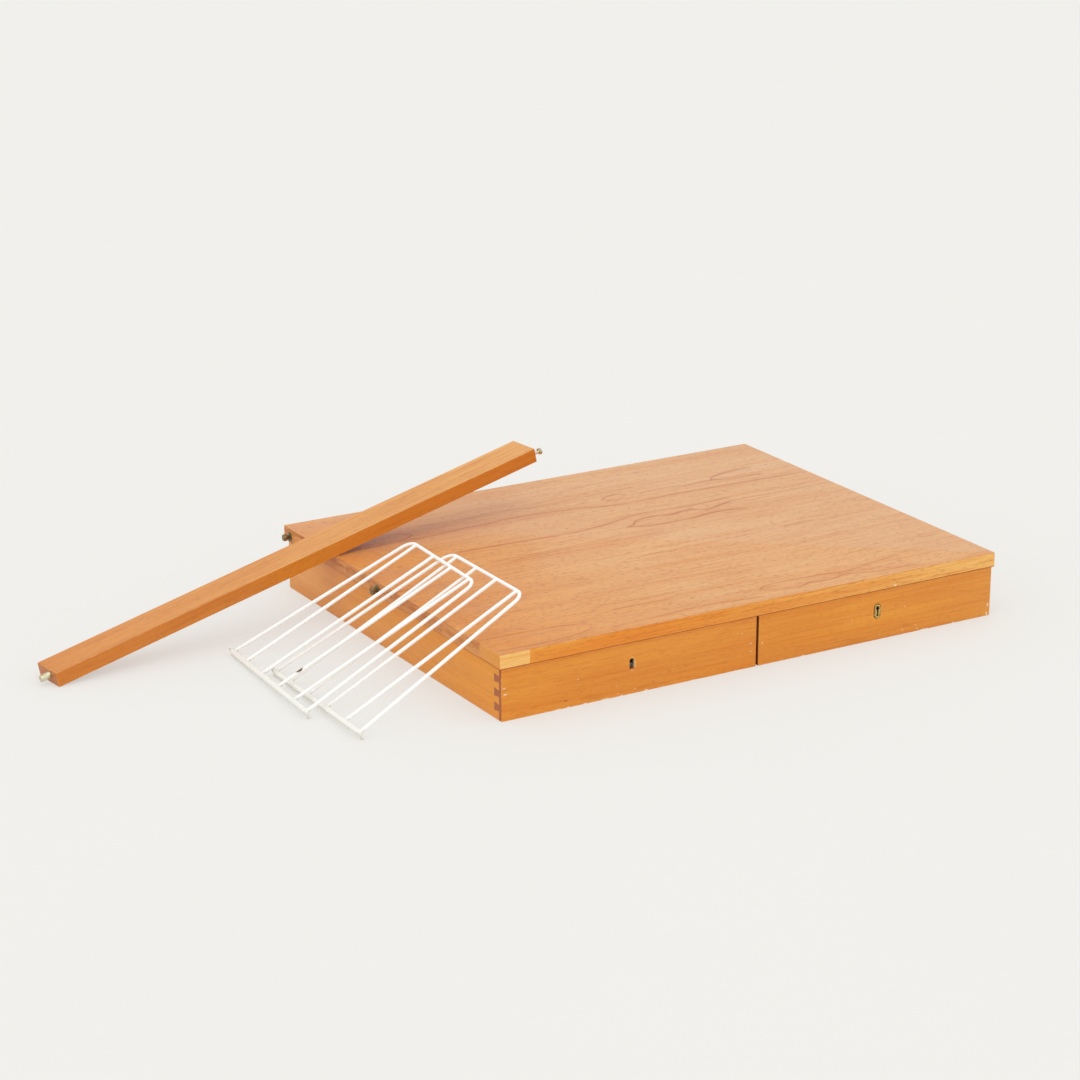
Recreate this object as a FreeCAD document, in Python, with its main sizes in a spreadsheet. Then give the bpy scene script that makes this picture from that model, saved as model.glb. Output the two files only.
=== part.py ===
import FreeCAD, Part
import math
import os
import re

# A shelf desk that hangs between two wire ladders on a wall, taken down and laid on the floor:
# a veneered top with two hanging drawers under it, the loose cross rail of the same bay leaning on it,
# and two wire racks leaning on its left edge.
# Build frame: x runs to the right along the desk's front edge from its left end, y from the front edge
# to the wall, z up from the floor. All sizes are in millimetres and degrees.

SIZES = {
    # desk top
    "desk_width": 780,
    "desk_depth": 600,
    "top_thickness": 20,
    "veneer": 0.7,
    "edge_band": 8,
    "front_lipping": 10,
    "corner_block_width": 43,
    "corner_block_depth": 51,
    # pegs in the ends of the top
    "peg_back_margin": 17,
    "peg_spacing": 260,
    "peg_height": 7.5,
    "peg_shank_radius": 3,
    "peg_shank_length": 22,
    "peg_neck_radius": 3,
    "peg_neck_length": 5.5,
    "peg_head_radius": 5,
    "peg_head_length": 5,
    "peg_head_chamfer": 0.8,
    "bush_radius": 4.5,
    "bush_flange_radius": 7,
    "bush_flange_thickness": 1,
    "turned_fit": 0.05,
    # drawers
    "drawer_height": 69.5,
    "drawer_top_gap": 1,
    "drawer_side_inset": 3,
    "drawer_front_inset": 2,
    "drawer_back_inset": 7,
    "drawer_gap": 3.6,
    "front_thickness": 18,
    "side_thickness": 12,
    "back_thickness": 12,
    "back_setback": 10,
    "back_runner_gap": 4,
    "back_housing": 4,
    "bottom_thickness": 4,
    "bottom_height": 8,
    "bottom_groove": 5,
    "joint_fit": 0.1,
    # half-blind dovetails between a drawer's front and its sides
    "dovetail_lap": 6,
    "pin_first": 17,
    "pin_pitch": 19,
    "pin_wide": 11.5,
    "pin_narrow": 8.5,
    # wooden runners under the top, one in a groove of each drawer side
    "runner_web": 12,
    "runner_drop": 12.5,
    "runner_lip": 4.5,
    "runner_lip_height": 8,
    "runner_side_gap": 1,
    "runner_front_gap": 8,
    "runner_back_margin": 20,
    "runner_top_slack": 0.2,
    "runner_slack": 0.6,
    # drawer locks
    "lock_width": 46,
    "lock_depth": 14,
    "lock_height": 40,
    "lock_fit": 0.2,
    "bolt_width": 18,
    "bolt_thickness": 5,
    "bolt_length": 20,
    "bolt_recess": 0.3,
    "bolt_slack": 0.3,
    "bolt_throw": 6,
    "keyhole_drop": 28.7,
    "keyhole_radius": 3.7,
    "keyhole_length": 15.2,
    "key_bore_radius": 3.4,
    "key_bore_depth": 5,
    "lock_pin_radius": 1.5,
    "lock_pin_setback": 4,
    "liner_radius": 5.1,
    "liner_length": 19.5,
    "liner_depth": 3,
    "liner_shift": 0.72,
    "liner_drop": 0.34,
    "liner_eye_radius": 2.6,
    "liner_slot_width": 2.2,
    "liner_slot_drop": 7,
    "strike_width": 46,
    "strike_depth": 10,
    "strike_thickness": 1.2,
    "strike_slack": 1,
    # wood screws
    "runner_screw_radius": 2,
    "runner_screw_length": 32,
    "runner_screw_margin": 60,
    "lock_screw_radius": 1.4,
    "lock_screw_length": 16.5,
    "lock_screw_margin": 5,
    "strike_screw_radius": 1.2,
    "strike_screw_length": 10,
    "strike_screw_margin": 5,
    "bottom_screw_radius": 1.5,
    "bottom_screw_length": 18,
    "bottom_screw_spacing": 120,
    "screw_head_ratio": 2,
    # cross rail
    "rail_length": 784,
    "rail_width": 50,
    "rail_thickness": 19.9,
    "rail_edge_round": 0.4,
    "rail_pin_shank_radius": 3,
    "rail_pin_shank_length": 25,
    "rail_pin_chamfer": 0.7,
    "rail_left_pin_setback": 18.3,
    "rail_left_pin_height": 12.8,
    "rail_left_pin_radius": 4.7,
    "rail_left_pin_length": 15,
    "rail_right_pin_setback": 6.3,
    "rail_right_pin_height": 10,
    "rail_right_neck_radius": 2.2,
    "rail_right_neck_length": 9.6,
    "rail_right_collar_radius": 4.6,
    "rail_right_collar_length": 1.3,
    "rail_right_groove_length": 0.6,
    "rail_right_head_radius": 4.9,
    "rail_right_head_length": 2.6,
    "rail_foot_x": -424.9,
    "rail_foot_y": 395.25,
    "rail_turn_angle": 6.1,
    "rail_rest_gap": 0.4,
    # wire racks
    "rack_height": 278,
    "rack_foot_half": 127,
    "rack_top_half": 100,
    "rack_corner_radius": 17,
    "rack_wire_radius": 2.5,
    "rack_wire_pitch": 55,
    "rack_rod_radius": 4,
    "rack_rod_end_gap": 1.5,
    "rack_hook_length": 10,
    "rack_hook_bend": 4,
    "rack_roll_angle": -1.5,
    "rack_foot_z": 7.3,
    "lower_rack_x": -172.5,
    "lower_rack_y": 166.2,
    "lower_rack_turn_angle": 1.38,
    "lower_rack_gap": 5.25,
    "upper_rack_x": -192.4,
    "upper_rack_y": 261.3,
    "upper_rack_turn_angle": 3.67,
    "upper_rack_gap": 4.8,
}

PINS_PER_CORNER = 3
SCREWS_PER_RUNNER = 3
SCREWS_PER_BOTTOM = 3
WIRES_PER_RACK = 4

doc = FreeCAD.newDocument("shelf_desk")
sheet = doc.addObject("Spreadsheet::Sheet", "Sizes")
for row, (size_name, size_value) in enumerate(SIZES.items(), start=1):
    sheet.set(f"A{row}", size_name)
    sheet.set(f"B{row}", str(size_value))
    sheet.setAlias(f"B{row}", size_name)

# The footprint's centre, in the build frame: measured once the pieces exist, then taken off every place.
CENTRE_CELLS = {"set_centre_x": "D1", "set_centre_y": "D2"}
for size_name, cell in CENTRE_CELLS.items():
    sheet.set(cell, "0")
    sheet.setAlias(cell, size_name)
doc.recompute()

SIZE_WORD = re.compile(r"\b(" + "|".join([*SIZES, *CENTRE_CELLS]) + r")\b")
X_AXIS, Y_AXIS, Z_AXIS = FreeCAD.Vector(1, 0, 0), FreeCAD.Vector(0, 1, 0), FreeCAD.Vector(0, 0, 1)
AXES = {"+x": X_AXIS, "-x": -X_AXIS, "+y": Y_AXIS, "-y": -Y_AXIS, "+z": Z_AXIS, "-z": -Z_AXIS}
pieces = []


def size(name):
    return float(sheet.get(name))


def in_sheet(text):
    """An expression written in size names, as the document takes it."""
    return SIZE_WORD.sub(r"Sizes.\1", str(text))


def value(text):
    """The number that an expression in size names comes to."""
    return float(sheet.evalExpression(str(text)))


def bind(item, **sizes):
    for prop, text in sizes.items():
        item.setExpression(prop, in_sheet(text))


def seat(item, place, turn=FreeCAD.Rotation(), centred=True):
    """Puts an item at a place in the build frame, less the footprint's centre, or at a plain place."""
    item.Placement = FreeCAD.Placement(FreeCAD.Vector(), turn)
    shift = ("-set_centre_x", "-set_centre_y", "") if centred else ("", "", "")
    for axis, text, less in zip("xyz", place, shift):
        item.setExpression(f"Placement.Base.{axis}", in_sheet(f"({text}) {less}"))


def box(name, extent, corner, centred=True):
    item = doc.addObject("Part::Box", name)
    bind(item, Length=extent[0], Width=extent[1], Height=extent[2])
    seat(item, corner, centred=centred)
    return item


def rod(name, radius, length, start, axis, end_radius=None, centred=True):
    """A round bar or, with an end radius, a cone from its start along one of the six axis directions."""
    turn = FreeCAD.Rotation(Z_AXIS, AXES[axis])
    if end_radius is None:
        item = doc.addObject("Part::Cylinder", name)
        bind(item, Radius=radius, Height=length)
    else:
        item = doc.addObject("Part::Cone", name)
        bind(item, Radius1=radius, Radius2=end_radius, Height=length)
    seat(item, start, turn, centred)
    return item


def fuse(name, *items):
    if len(items) == 1:
        return items[0]
    item = doc.addObject("Part::MultiFuse", name)
    item.Shapes = list(items)
    return item


def cut(name, base, *tools):
    item = doc.addObject("Part::Cut", name)
    item.Base = base
    item.Tool = fuse(name + "_cuts", *tools)
    return item


def piece(label, item):
    """Marks an item as a finished sub-part, named for its file."""
    item.Label = label
    pieces.append(item)
    return item


def turned(name, start, axis, steps, centred=True):
    """A turned piece: round steps (start radius, end radius or None, length) set end to end."""
    along = axis[1]
    sign = axis[0]
    parts = []
    reach = "0"
    for number, (radius, end_radius, length) in enumerate(steps):
        place = [f"({text}) {sign} ({reach})" if letter == along else text
                 for letter, text in zip("xyz", start)]
        parts.append(rod(f"{name}_step_{number}", radius, length, place, axis, end_radius, centred))
        reach = f"{reach} + ({length})"
    return fuse(name, *parts)


def stadium(name, radius, length, depth, middle):
    """A round-ended upright slot that runs back from a drawer front, centred on a point of its face."""
    x, y, z = middle
    reach = f"(({length}) / 2 - ({radius}))"
    ends = [rod(f"{name}_{end}", radius, depth, (x, y, f"({z}) {sign} {reach}"), "+y")
            for end, sign in (("head", "+"), ("foot", "-"))]
    web = box(f"{name}_web", (f"2 * ({radius})", depth, f"2 * {reach}"),
              (f"({x}) - ({radius})", y, f"({z}) - {reach}"))
    return fuse(name, *ends, web)


def screw_shape(radius, length):
    """A countersunk wood screw with its head's flat at the origin, its point towards -z."""
    head_radius = radius * size("screw_head_ratio")
    head_height = head_radius - radius
    head = Part.makeCone(head_radius, radius, head_height, FreeCAD.Vector(), -Z_AXIS)
    shank = Part.makeCylinder(radius, length - head_height, FreeCAD.Vector(0, 0, -head_height), -Z_AXIS)
    return head.fuse(shank)


def screw_group(name, radius, length, places, axis):
    """A group of like screws, heads at places given as expressions, points along an axis direction."""
    turn = FreeCAD.Rotation(-Z_AXIS, AXES[axis])
    shapes = []
    for place in places:
        shape = screw_shape(size(radius), size(length))
        shape.Placement = FreeCAD.Placement(FreeCAD.Vector(*[value(text) for text in place]), turn)
        shapes.append(shape)
    item = doc.addObject("Part::Feature", name)
    item.Shape = Part.makeCompound(shapes)
    seat(item, ("0", "0", "0"))
    return item


# Heights and lines that the pieces share
UNDERSIDE = "(drawer_height + drawer_top_gap)"
TOP_FACE = f"({UNDERSIDE} + top_thickness)"
CORE_Z = f"({UNDERSIDE} + veneer)"
CORE_HEIGHT = "(top_thickness - 2 * veneer)"
PEG_Z = f"({UNDERSIDE} + peg_height)"
PEG_ROWS = {"back": "(desk_depth - peg_back_margin)",
            "middle": "(desk_depth - peg_back_margin - peg_spacing)"}
INNER_Y = "(drawer_front_inset + front_thickness)"
REAR_Y = "(desk_depth - drawer_back_inset)"
DRAWER_WIDTH = "((desk_width - 2 * drawer_side_inset - drawer_gap) / 2)"
DRAWER_X = {"left": "drawer_side_inset", "right": f"(desk_width - drawer_side_inset - {DRAWER_WIDTH})"}
DRAWER_MIDDLE = {hand: f"({x} + {DRAWER_WIDTH} / 2)" for hand, x in DRAWER_X.items()}
SIDE_X = {(drawer, side): x if side == "left" else f"({x} + {DRAWER_WIDTH} - side_thickness)"
          for drawer, x in DRAWER_X.items() for side in ("left", "right")}
LIP_TOP = f"({UNDERSIDE} - runner_drop)"
LIP_FOOT = f"({LIP_TOP} - runner_lip_height)"
RUNNER_Y = f"({INNER_Y} + runner_front_gap)"
RUNNER_LENGTH = f"(desk_depth - runner_back_margin - {RUNNER_Y})"
BOTTOM_TOP = "(bottom_height + bottom_thickness)"
BACK_HEIGHT = f"({LIP_FOOT} - back_runner_gap - {BOTTOM_TOP})"
BOLT_Y = f"({INNER_Y} - lock_depth / 2)"
KEYHOLE_Z = "(drawer_height - keyhole_drop)"
KEY_Z = f"({KEYHOLE_Z} + keyhole_length / 2 - keyhole_radius)"
LINER_PLAY = "(hypot(liner_shift; liner_drop) + turned_fit)"


def runner_web_x(drawer, side):
    """Left face of a runner's web, just inside the drawer side that it carries."""
    if side == "left":
        return f"({SIDE_X[drawer, side]} + side_thickness + runner_side_gap)"
    return f"({SIDE_X[drawer, side]} - runner_side_gap - runner_web)"


def runner_screw_places(drawer, side):
    """Screw heads along the foot of a runner's web."""
    middle = f"{runner_web_x(drawer, side)} + runner_web / 2"
    step = f"(({RUNNER_LENGTH} - 2 * runner_screw_margin) / {SCREWS_PER_RUNNER - 1})"
    return [(middle, f"{RUNNER_Y} + runner_screw_margin + {number} * {step}", LIP_FOOT)
            for number in range(SCREWS_PER_RUNNER)]


def screw_holes(name, radius, length, places, axis):
    """Straight pilot holes for a group of screws."""
    return [rod(f"{name}_{number}", f"({radius} + turned_fit)", f"({length} + turned_fit)", place, axis)
            for number, place in enumerate(places)]


def screw_sinks(name, radius, places, axis):
    """Countersinks for the heads of a group of screws."""
    head = f"({radius} * screw_head_ratio)"
    return [rod(f"{name}_{number}", f"{head} + turned_fit", f"{head} - {radius}", place, axis,
                f"{radius} + turned_fit")
            for number, place in enumerate(places)]


RUNNERS = list(SIDE_X)
RUNNER_SCREWS = {key: runner_screw_places(*key) for key in RUNNERS}
STRIKE_SCREWS = {
    drawer: [(f"{middle} {sign} (strike_width / 2 - strike_screw_margin)", BOLT_Y, UNDERSIDE)
             for sign in "-+"]
    for drawer, middle in DRAWER_MIDDLE.items()
}
PEGS = {(hand, row): ("0" if hand == "left" else "desk_width", y, PEG_Z)
        for hand in ("left", "right") for row, y in PEG_ROWS.items()}
OUTWARD = {"left": "-x", "right": "+x"}
INWARD = {"left": "+x", "right": "-x"}


def peg_bores(name, hand):
    """Holes for the bushes of one end of the top, through its band into the core."""
    return [rod(f"{name}_{row}", "bush_radius + turned_fit", "peg_shank_length + turned_fit",
                PEGS[hand, row], INWARD[hand])
            for row in PEG_ROWS]


def strike_recess(name, drawer):
    """The shallow recess for a strike plate in the top's underside."""
    return box(name, ("strike_width", "strike_depth", "strike_thickness"),
               (f"{DRAWER_MIDDLE[drawer]} - strike_width / 2", f"{BOLT_Y} - strike_depth / 2", UNDERSIDE))


def bolt_slot(name, drawer, height):
    """The slot that a lock's bolt rises into."""
    return box(name, ("bolt_width + 2 * strike_slack", "bolt_thickness + 2 * strike_slack", height),
               (f"{DRAWER_MIDDLE[drawer]} - bolt_width / 2 - strike_slack",
                f"{BOLT_Y} - bolt_thickness / 2 - strike_slack", UNDERSIDE))


def strike_cuts(name):
    """What the strike plates, their screws and the bolts take out of the wood over the drawer fronts."""
    tools = []
    for drawer in DRAWER_X:
        tools.append(strike_recess(f"{name}_{drawer}_strike", drawer))
        tools.append(bolt_slot(f"{name}_{drawer}_slot", drawer, "bolt_throw + 2 * strike_slack"))
        tools += screw_holes(f"{name}_{drawer}_strike_hole", "strike_screw_radius", "strike_screw_length",
                             STRIKE_SCREWS[drawer], "+z")
    return tools


def runner_holes(name):
    """Pilot holes of all the runners' screws."""
    tools = []
    for key in RUNNERS:
        tools += screw_holes(f"{name}_hole_" + "_".join(key), "runner_screw_radius", "runner_screw_length",
                             RUNNER_SCREWS[key], "+z")
    return tools


# Top: a core board edged with bands of solid wood, veneered on both faces
block_extent = ("corner_block_width", "corner_block_depth", CORE_HEIGHT)
core_cuts = [box("core_corner", block_extent, ("0", "0", CORE_Z))]
for hand in OUTWARD:
    core_cuts += peg_bores(f"core_{hand}_bore", hand)
core_board = box("core_board",
                 ("desk_width - 2 * edge_band", "desk_depth - front_lipping - edge_band", CORE_HEIGHT),
                 ("edge_band", "front_lipping", CORE_Z))
piece("top_core", cut("top_core", core_board, *core_cuts, *runner_holes("core"), *strike_cuts("core")))

piece("top_veneer", box("top_veneer", ("desk_width", "desk_depth", "veneer"),
                        ("0", "0", f"{TOP_FACE} - veneer")))
underside_sheet = box("underside_sheet", ("desk_width", "desk_depth", "veneer"), ("0", "0", UNDERSIDE))
piece("underside_veneer", cut("underside_veneer", underside_sheet, *runner_holes("underside"),
                              *strike_cuts("underside")))

piece("corner_block", box("corner_block", block_extent, ("0", "0", CORE_Z)))
lipping_strip = box("lipping_strip", ("desk_width - corner_block_width", "front_lipping", CORE_HEIGHT),
                    ("corner_block_width", "0", CORE_Z))
piece("front_lipping", cut("lipping", lipping_strip, *strike_cuts("lipping")))
piece("back_edge_band", box("back_edge_band", ("desk_width - 2 * edge_band", "edge_band", CORE_HEIGHT),
                            ("edge_band", "desk_depth - edge_band", CORE_Z)))
band_start = {"left": "corner_block_depth", "right": "front_lipping"}
band_x = {"left": "0", "right": "desk_width - edge_band"}
for hand, start in band_start.items():
    strip = box(f"{hand}_band_strip", ("edge_band", f"desk_depth - {start}", CORE_HEIGHT),
                (band_x[hand], start, CORE_Z))
    piece(f"{hand}_edge_band", cut(f"{hand}_edge_band", strip, *peg_bores(f"{hand}_band_bore", hand)))

# Pegs: turned studs with heads, each screwed into a flanged bush in the end of the top
bushes = []
for (hand, row), place in PEGS.items():
    name = f"peg_{hand}_{row}"
    shank = rod(f"{name}_shank", "peg_shank_radius", "peg_shank_length", place, INWARD[hand])
    stud = turned(f"{name}_stud", place, OUTWARD[hand], [
        ("peg_neck_radius", None, "peg_neck_length"),
        ("peg_head_radius", None, "peg_head_length - peg_head_chamfer"),
        ("peg_head_radius", "peg_head_radius - peg_head_chamfer", "peg_head_chamfer"),
    ])
    piece(name, fuse(name, shank, stud))
    sleeve = rod(f"{name}_sleeve", "bush_radius", "peg_shank_length", place, INWARD[hand])
    flange = rod(f"{name}_flange", "bush_flange_radius", "bush_flange_thickness", place, OUTWARD[hand])
    bores = [rod(f"{name}_bush_bore_{way}", "peg_shank_radius + turned_fit", "peg_shank_length", place, way)
             for way in (INWARD[hand], OUTWARD[hand])]
    bushes.append(cut(f"{name}_bush", fuse(f"{name}_bush_body", sleeve, flange), *bores))
bush_group = doc.addObject("Part::Compound", "peg_bushes")
bush_group.Links = bushes
piece("peg_bushes", bush_group)

# Runners: hardwood strips under the top, each with a lip that carries a drawer by its side's groove
for drawer, side in RUNNERS:
    name = f"{drawer}_drawer_{side}_runner"
    web_x = runner_web_x(drawer, side)
    lip_start = f"{web_x} - runner_lip - runner_side_gap" if side == "left" else web_x
    lip_width = "runner_web + runner_lip + runner_side_gap"
    web = box(f"{name}_web", ("runner_web", RUNNER_LENGTH, f"{UNDERSIDE} - {LIP_FOOT}"),
              (web_x, RUNNER_Y, LIP_FOOT))
    lip = box(f"{name}_lip", (lip_width, RUNNER_LENGTH, "runner_lip_height"),
              (lip_start, RUNNER_Y, LIP_FOOT))
    places = RUNNER_SCREWS[drawer, side]
    holes = screw_holes(f"{name}_hole", "runner_screw_radius", "runner_screw_length", places, "+z")
    sinks = screw_sinks(f"{name}_sink", "runner_screw_radius", places, "+z")
    piece(name, cut(name, fuse(f"{name}_strip", web, lip), *holes, *sinks))
piece("runner_screws", screw_group("runner_screws", "runner_screw_radius", "runner_screw_length",
                                   [place for key in RUNNERS for place in RUNNER_SCREWS[key]], "+z"))

# Strike plates for the lock bolts, let into the top's underside
for drawer in DRAWER_X:
    name = f"{drawer}_strike_plate"
    places = STRIKE_SCREWS[drawer]
    holes = screw_holes(f"{name}_hole", "strike_screw_radius", "strike_screw_length", places, "+z")
    sinks = screw_sinks(f"{name}_sink", "strike_screw_radius", places, "+z")
    slot = bolt_slot(f"{name}_slot", drawer, "strike_thickness")
    piece(name, cut(name, strike_recess(f"{name}_blank", drawer), slot, *holes, *sinks))
piece("strike_screws", screw_group("strike_screws", "strike_screw_radius", "strike_screw_length",
                                   [place for drawer in DRAWER_X for place in STRIKE_SCREWS[drawer]], "+z"))


def dovetail_pins(name, side_x):
    """The pins of one corner: wedges that widen from the lap to the inner face of the front."""
    pins = []
    for number in range(PINS_PER_CORNER):
        pin = doc.addObject("Part::Wedge", f"{name}_pin_{number}")
        middle = f"pin_first + {number} * pin_pitch"
        bind(pin, Xmin=0, Xmax="side_thickness", X2min=0, X2max="side_thickness",
             Ymin=0, Ymax="front_thickness - dovetail_lap",
             Zmin=f"{middle} - pin_narrow / 2", Zmax=f"{middle} + pin_narrow / 2",
             Z2min=f"{middle} - pin_wide / 2", Z2max=f"{middle} + pin_wide / 2")
        seat(pin, (side_x, "drawer_front_inset + dovetail_lap", "0"))
        pins.append(pin)
    return fuse(f"{name}_pins", *pins)


def bottom_panel(name, drawer, fit):
    """A drawer's bottom panel, or with a fit the groove that takes it."""
    x = f"{DRAWER_X[drawer]} + side_thickness - bottom_groove"
    y = f"{INNER_Y} - bottom_groove"
    return box(name, (f"{DRAWER_WIDTH} - 2 * side_thickness + 2 * bottom_groove + 2 * {fit}",
                      f"{REAR_Y} - {y} + {fit}", "bottom_thickness"),
               (f"{x} - {fit}", f"{y} - {fit}", "bottom_height"))


def back_board(name, drawer, fit):
    """A drawer's back, low enough to pass under the runners, or with a fit the housings for its ends."""
    return box(name, (f"{DRAWER_WIDTH} - 2 * side_thickness + 2 * back_housing + 2 * {fit}",
                      "back_thickness", f"{BACK_HEIGHT} + {fit}"),
               (f"{DRAWER_X[drawer]} + side_thickness - back_housing - {fit}",
                f"{REAR_Y} - back_setback - back_thickness", BOTTOM_TOP))


def lock_block(name, drawer, fit):
    """A lock's case, or with a fit the mortise that takes it."""
    return box(name, (f"lock_width + 2 * {fit}", f"lock_depth + {fit}", f"lock_height + {fit}"),
               (f"{DRAWER_MIDDLE[drawer]} - lock_width / 2 - {fit}", f"{INNER_Y} - lock_depth - {fit}",
                f"drawer_height - lock_height - {fit}"))


# Drawers: dovetailed boxes that hang on the runners, each with a lock in its front
for drawer, drawer_x in DRAWER_X.items():
    name = f"{drawer}_drawer"
    middle = DRAWER_MIDDLE[drawer]
    keyhole = (middle, "drawer_front_inset", KEYHOLE_Z)

    lock_screw_places = [
        (f"{middle} {x_sign} (lock_width / 2 - lock_screw_margin)", INNER_Y, z)
        for x_sign in "-+"
        for z in ("drawer_height - lock_screw_margin", "drawer_height - lock_height + lock_screw_margin")
    ]

    # the front, with tail sockets at both ends, the bottom's groove, the lock's mortise and the keyhole
    front_cuts = [bottom_panel(f"{name}_front_groove", drawer, "joint_fit"),
                  lock_block(f"{name}_mortise", drawer, "lock_fit"),
                  stadium(f"{name}_keyhole", "keyhole_radius", "keyhole_length", "front_thickness",
                          keyhole)]
    front_cuts += screw_holes(f"{name}_lock_hole", "lock_screw_radius", "lock_screw_length",
                              lock_screw_places, "-y")
    if drawer == "right":
        front_cuts.append(stadium(f"{name}_liner_seat", f"liner_radius + {LINER_PLAY}",
                                  f"liner_length + 2 * {LINER_PLAY}", "liner_depth", keyhole))
    for side in ("left", "right"):
        side_x = SIDE_X[drawer, side]
        end = box(f"{name}_{side}_end",
                  ("side_thickness", "front_thickness - dovetail_lap", "drawer_height"),
                  (side_x, "drawer_front_inset + dovetail_lap", "0"))
        front_cuts.append(cut(f"{name}_{side}_tails", end, dovetail_pins(f"{name}_{side}_socket", side_x)))
    front_board = box(f"{name}_front_board", (DRAWER_WIDTH, "front_thickness", "drawer_height"),
                      (drawer_x, "drawer_front_inset", "0"))
    piece(f"{name}_front", cut(f"{name}_front", front_board, *front_cuts))

    # the sides, with tails at the front, a groove for the runner, one for the bottom and the back's housing
    for side in ("left", "right"):
        side_x = SIDE_X[drawer, side]
        side_name = f"{name}_{side}_side"
        groove_depth = "runner_lip + runner_slack"
        groove_x = f"{side_x} + side_thickness - ({groove_depth})" if side == "left" else side_x
        groove = box(f"{side_name}_groove",
                     (groove_depth, f"{REAR_Y} - {INNER_Y}",
                      "runner_lip_height + runner_slack + runner_top_slack"),
                     (groove_x, INNER_Y, f"{LIP_FOOT} - runner_slack"))
        board = box(f"{side_name}_board",
                    ("side_thickness", f"{REAR_Y} - drawer_front_inset - dovetail_lap", "drawer_height"),
                    (side_x, "drawer_front_inset + dovetail_lap", "0"))
        piece(side_name, cut(side_name, board, groove, dovetail_pins(side_name, side_x),
                             bottom_panel(f"{side_name}_bottom_groove", drawer, "joint_fit"),
                             back_board(f"{side_name}_housing", drawer, "joint_fit")))

    # the back, standing on the bottom panel, and the screws that hold the panel up to it
    bottom_screw_places = [
        (f"{middle} + {number - (SCREWS_PER_BOTTOM - 1) / 2} * bottom_screw_spacing",
         f"{REAR_Y} - back_setback - back_thickness / 2", "bottom_height")
        for number in range(SCREWS_PER_BOTTOM)
    ]
    back_holes = screw_holes(f"{name}_back_hole", "bottom_screw_radius", "bottom_screw_length",
                             bottom_screw_places, "+z")
    piece(f"{name}_back", cut(f"{name}_back", back_board(f"{name}_back_board", drawer, "0"), *back_holes))
    panel_holes = screw_holes(f"{name}_panel_hole", "bottom_screw_radius", "bottom_screw_length",
                              bottom_screw_places, "+z")
    panel_sinks = screw_sinks(f"{name}_panel_sink", "bottom_screw_radius", bottom_screw_places, "+z")
    panel = bottom_panel(f"{name}_panel", drawer, "0")
    piece(f"{name}_bottom", cut(f"{name}_bottom", panel, *panel_holes, *panel_sinks))
    piece(f"{name}_bottom_screws", screw_group(f"{name}_bottom_screws", "bottom_screw_radius",
                                               "bottom_screw_length", bottom_screw_places, "+z"))

    # the lock: a case with a pocket for the bolt and a bore for the key, and the pin that the key turns on
    pocket = box(f"{drawer}_bolt_pocket",
                 ("bolt_width + 2 * bolt_slack", "bolt_thickness + 2 * bolt_slack",
                  "bolt_length + bolt_recess + bolt_slack"),
                 (f"{middle} - bolt_width / 2 - bolt_slack", f"{BOLT_Y} - bolt_thickness / 2 - bolt_slack",
                  "drawer_height - bolt_length - bolt_recess - bolt_slack"))
    case_front = f"({INNER_Y} - lock_depth)"
    key_bore = rod(f"{drawer}_key_bore", "key_bore_radius", "key_bore_depth",
                   (middle, case_front, KEY_Z), "+y")
    case_holes = screw_holes(f"{drawer}_case_hole", "lock_screw_radius", "lock_screw_length",
                             lock_screw_places, "-y")
    case_sinks = screw_sinks(f"{drawer}_case_sink", "lock_screw_radius", lock_screw_places, "-y")
    piece(f"{drawer}_lock_case", cut(f"{drawer}_lock_case", lock_block(f"{drawer}_lock_block", drawer, "0"),
                                     pocket, key_bore, *case_holes, *case_sinks))
    piece(f"{drawer}_lock_screws", screw_group(f"{drawer}_lock_screws", "lock_screw_radius",
                                               "lock_screw_length", lock_screw_places, "-y"))
    piece(f"{drawer}_lock_bolt", box(f"{drawer}_lock_bolt", ("bolt_width", "bolt_thickness", "bolt_length"),
                                     (f"{middle} - bolt_width / 2", f"{BOLT_Y} - bolt_thickness / 2",
                                      "drawer_height - bolt_recess - bolt_length")))
    pin_start = "(drawer_front_inset + lock_pin_setback)"
    piece(f"{drawer}_lock_pin", rod(f"{drawer}_lock_pin", "lock_pin_radius",
                                    f"{case_front} + key_bore_depth - {pin_start}",
                                    (middle, pin_start, KEY_Z), "+y"))

# The one keyhole liner that is left, in the right-hand drawer front: loose, it has dropped in its seat
liner_z = f"({KEYHOLE_Z} - liner_drop)"
liner_middle = (f"({DRAWER_MIDDLE['right']} + liner_shift)", "drawer_front_inset", liner_z)
liner_eye_z = f"{liner_z} + liner_length / 2 - liner_radius"
liner_eye = rod("liner_eye", "liner_eye_radius", "liner_depth", (*liner_middle[:2], liner_eye_z), "+y")
liner_slot_z = f"({liner_z} - liner_slot_drop)"
liner_slot = box("liner_slot", ("liner_slot_width", "liner_depth", f"{liner_eye_z} - {liner_slot_z}"),
                 (f"{liner_middle[0]} - liner_slot_width / 2", liner_middle[1], liner_slot_z))
liner_blank = stadium("liner_blank", "liner_radius", "liner_length", "liner_depth", liner_middle)
piece("right_keyhole_liner", cut("right_keyhole_liner", liner_blank, liner_eye, liner_slot))


def slope_to(height, reach):
    """The slope, in degrees, of a straight piece that rises to a height over a level reach."""
    return math.degrees(math.atan2(height, reach))


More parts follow.
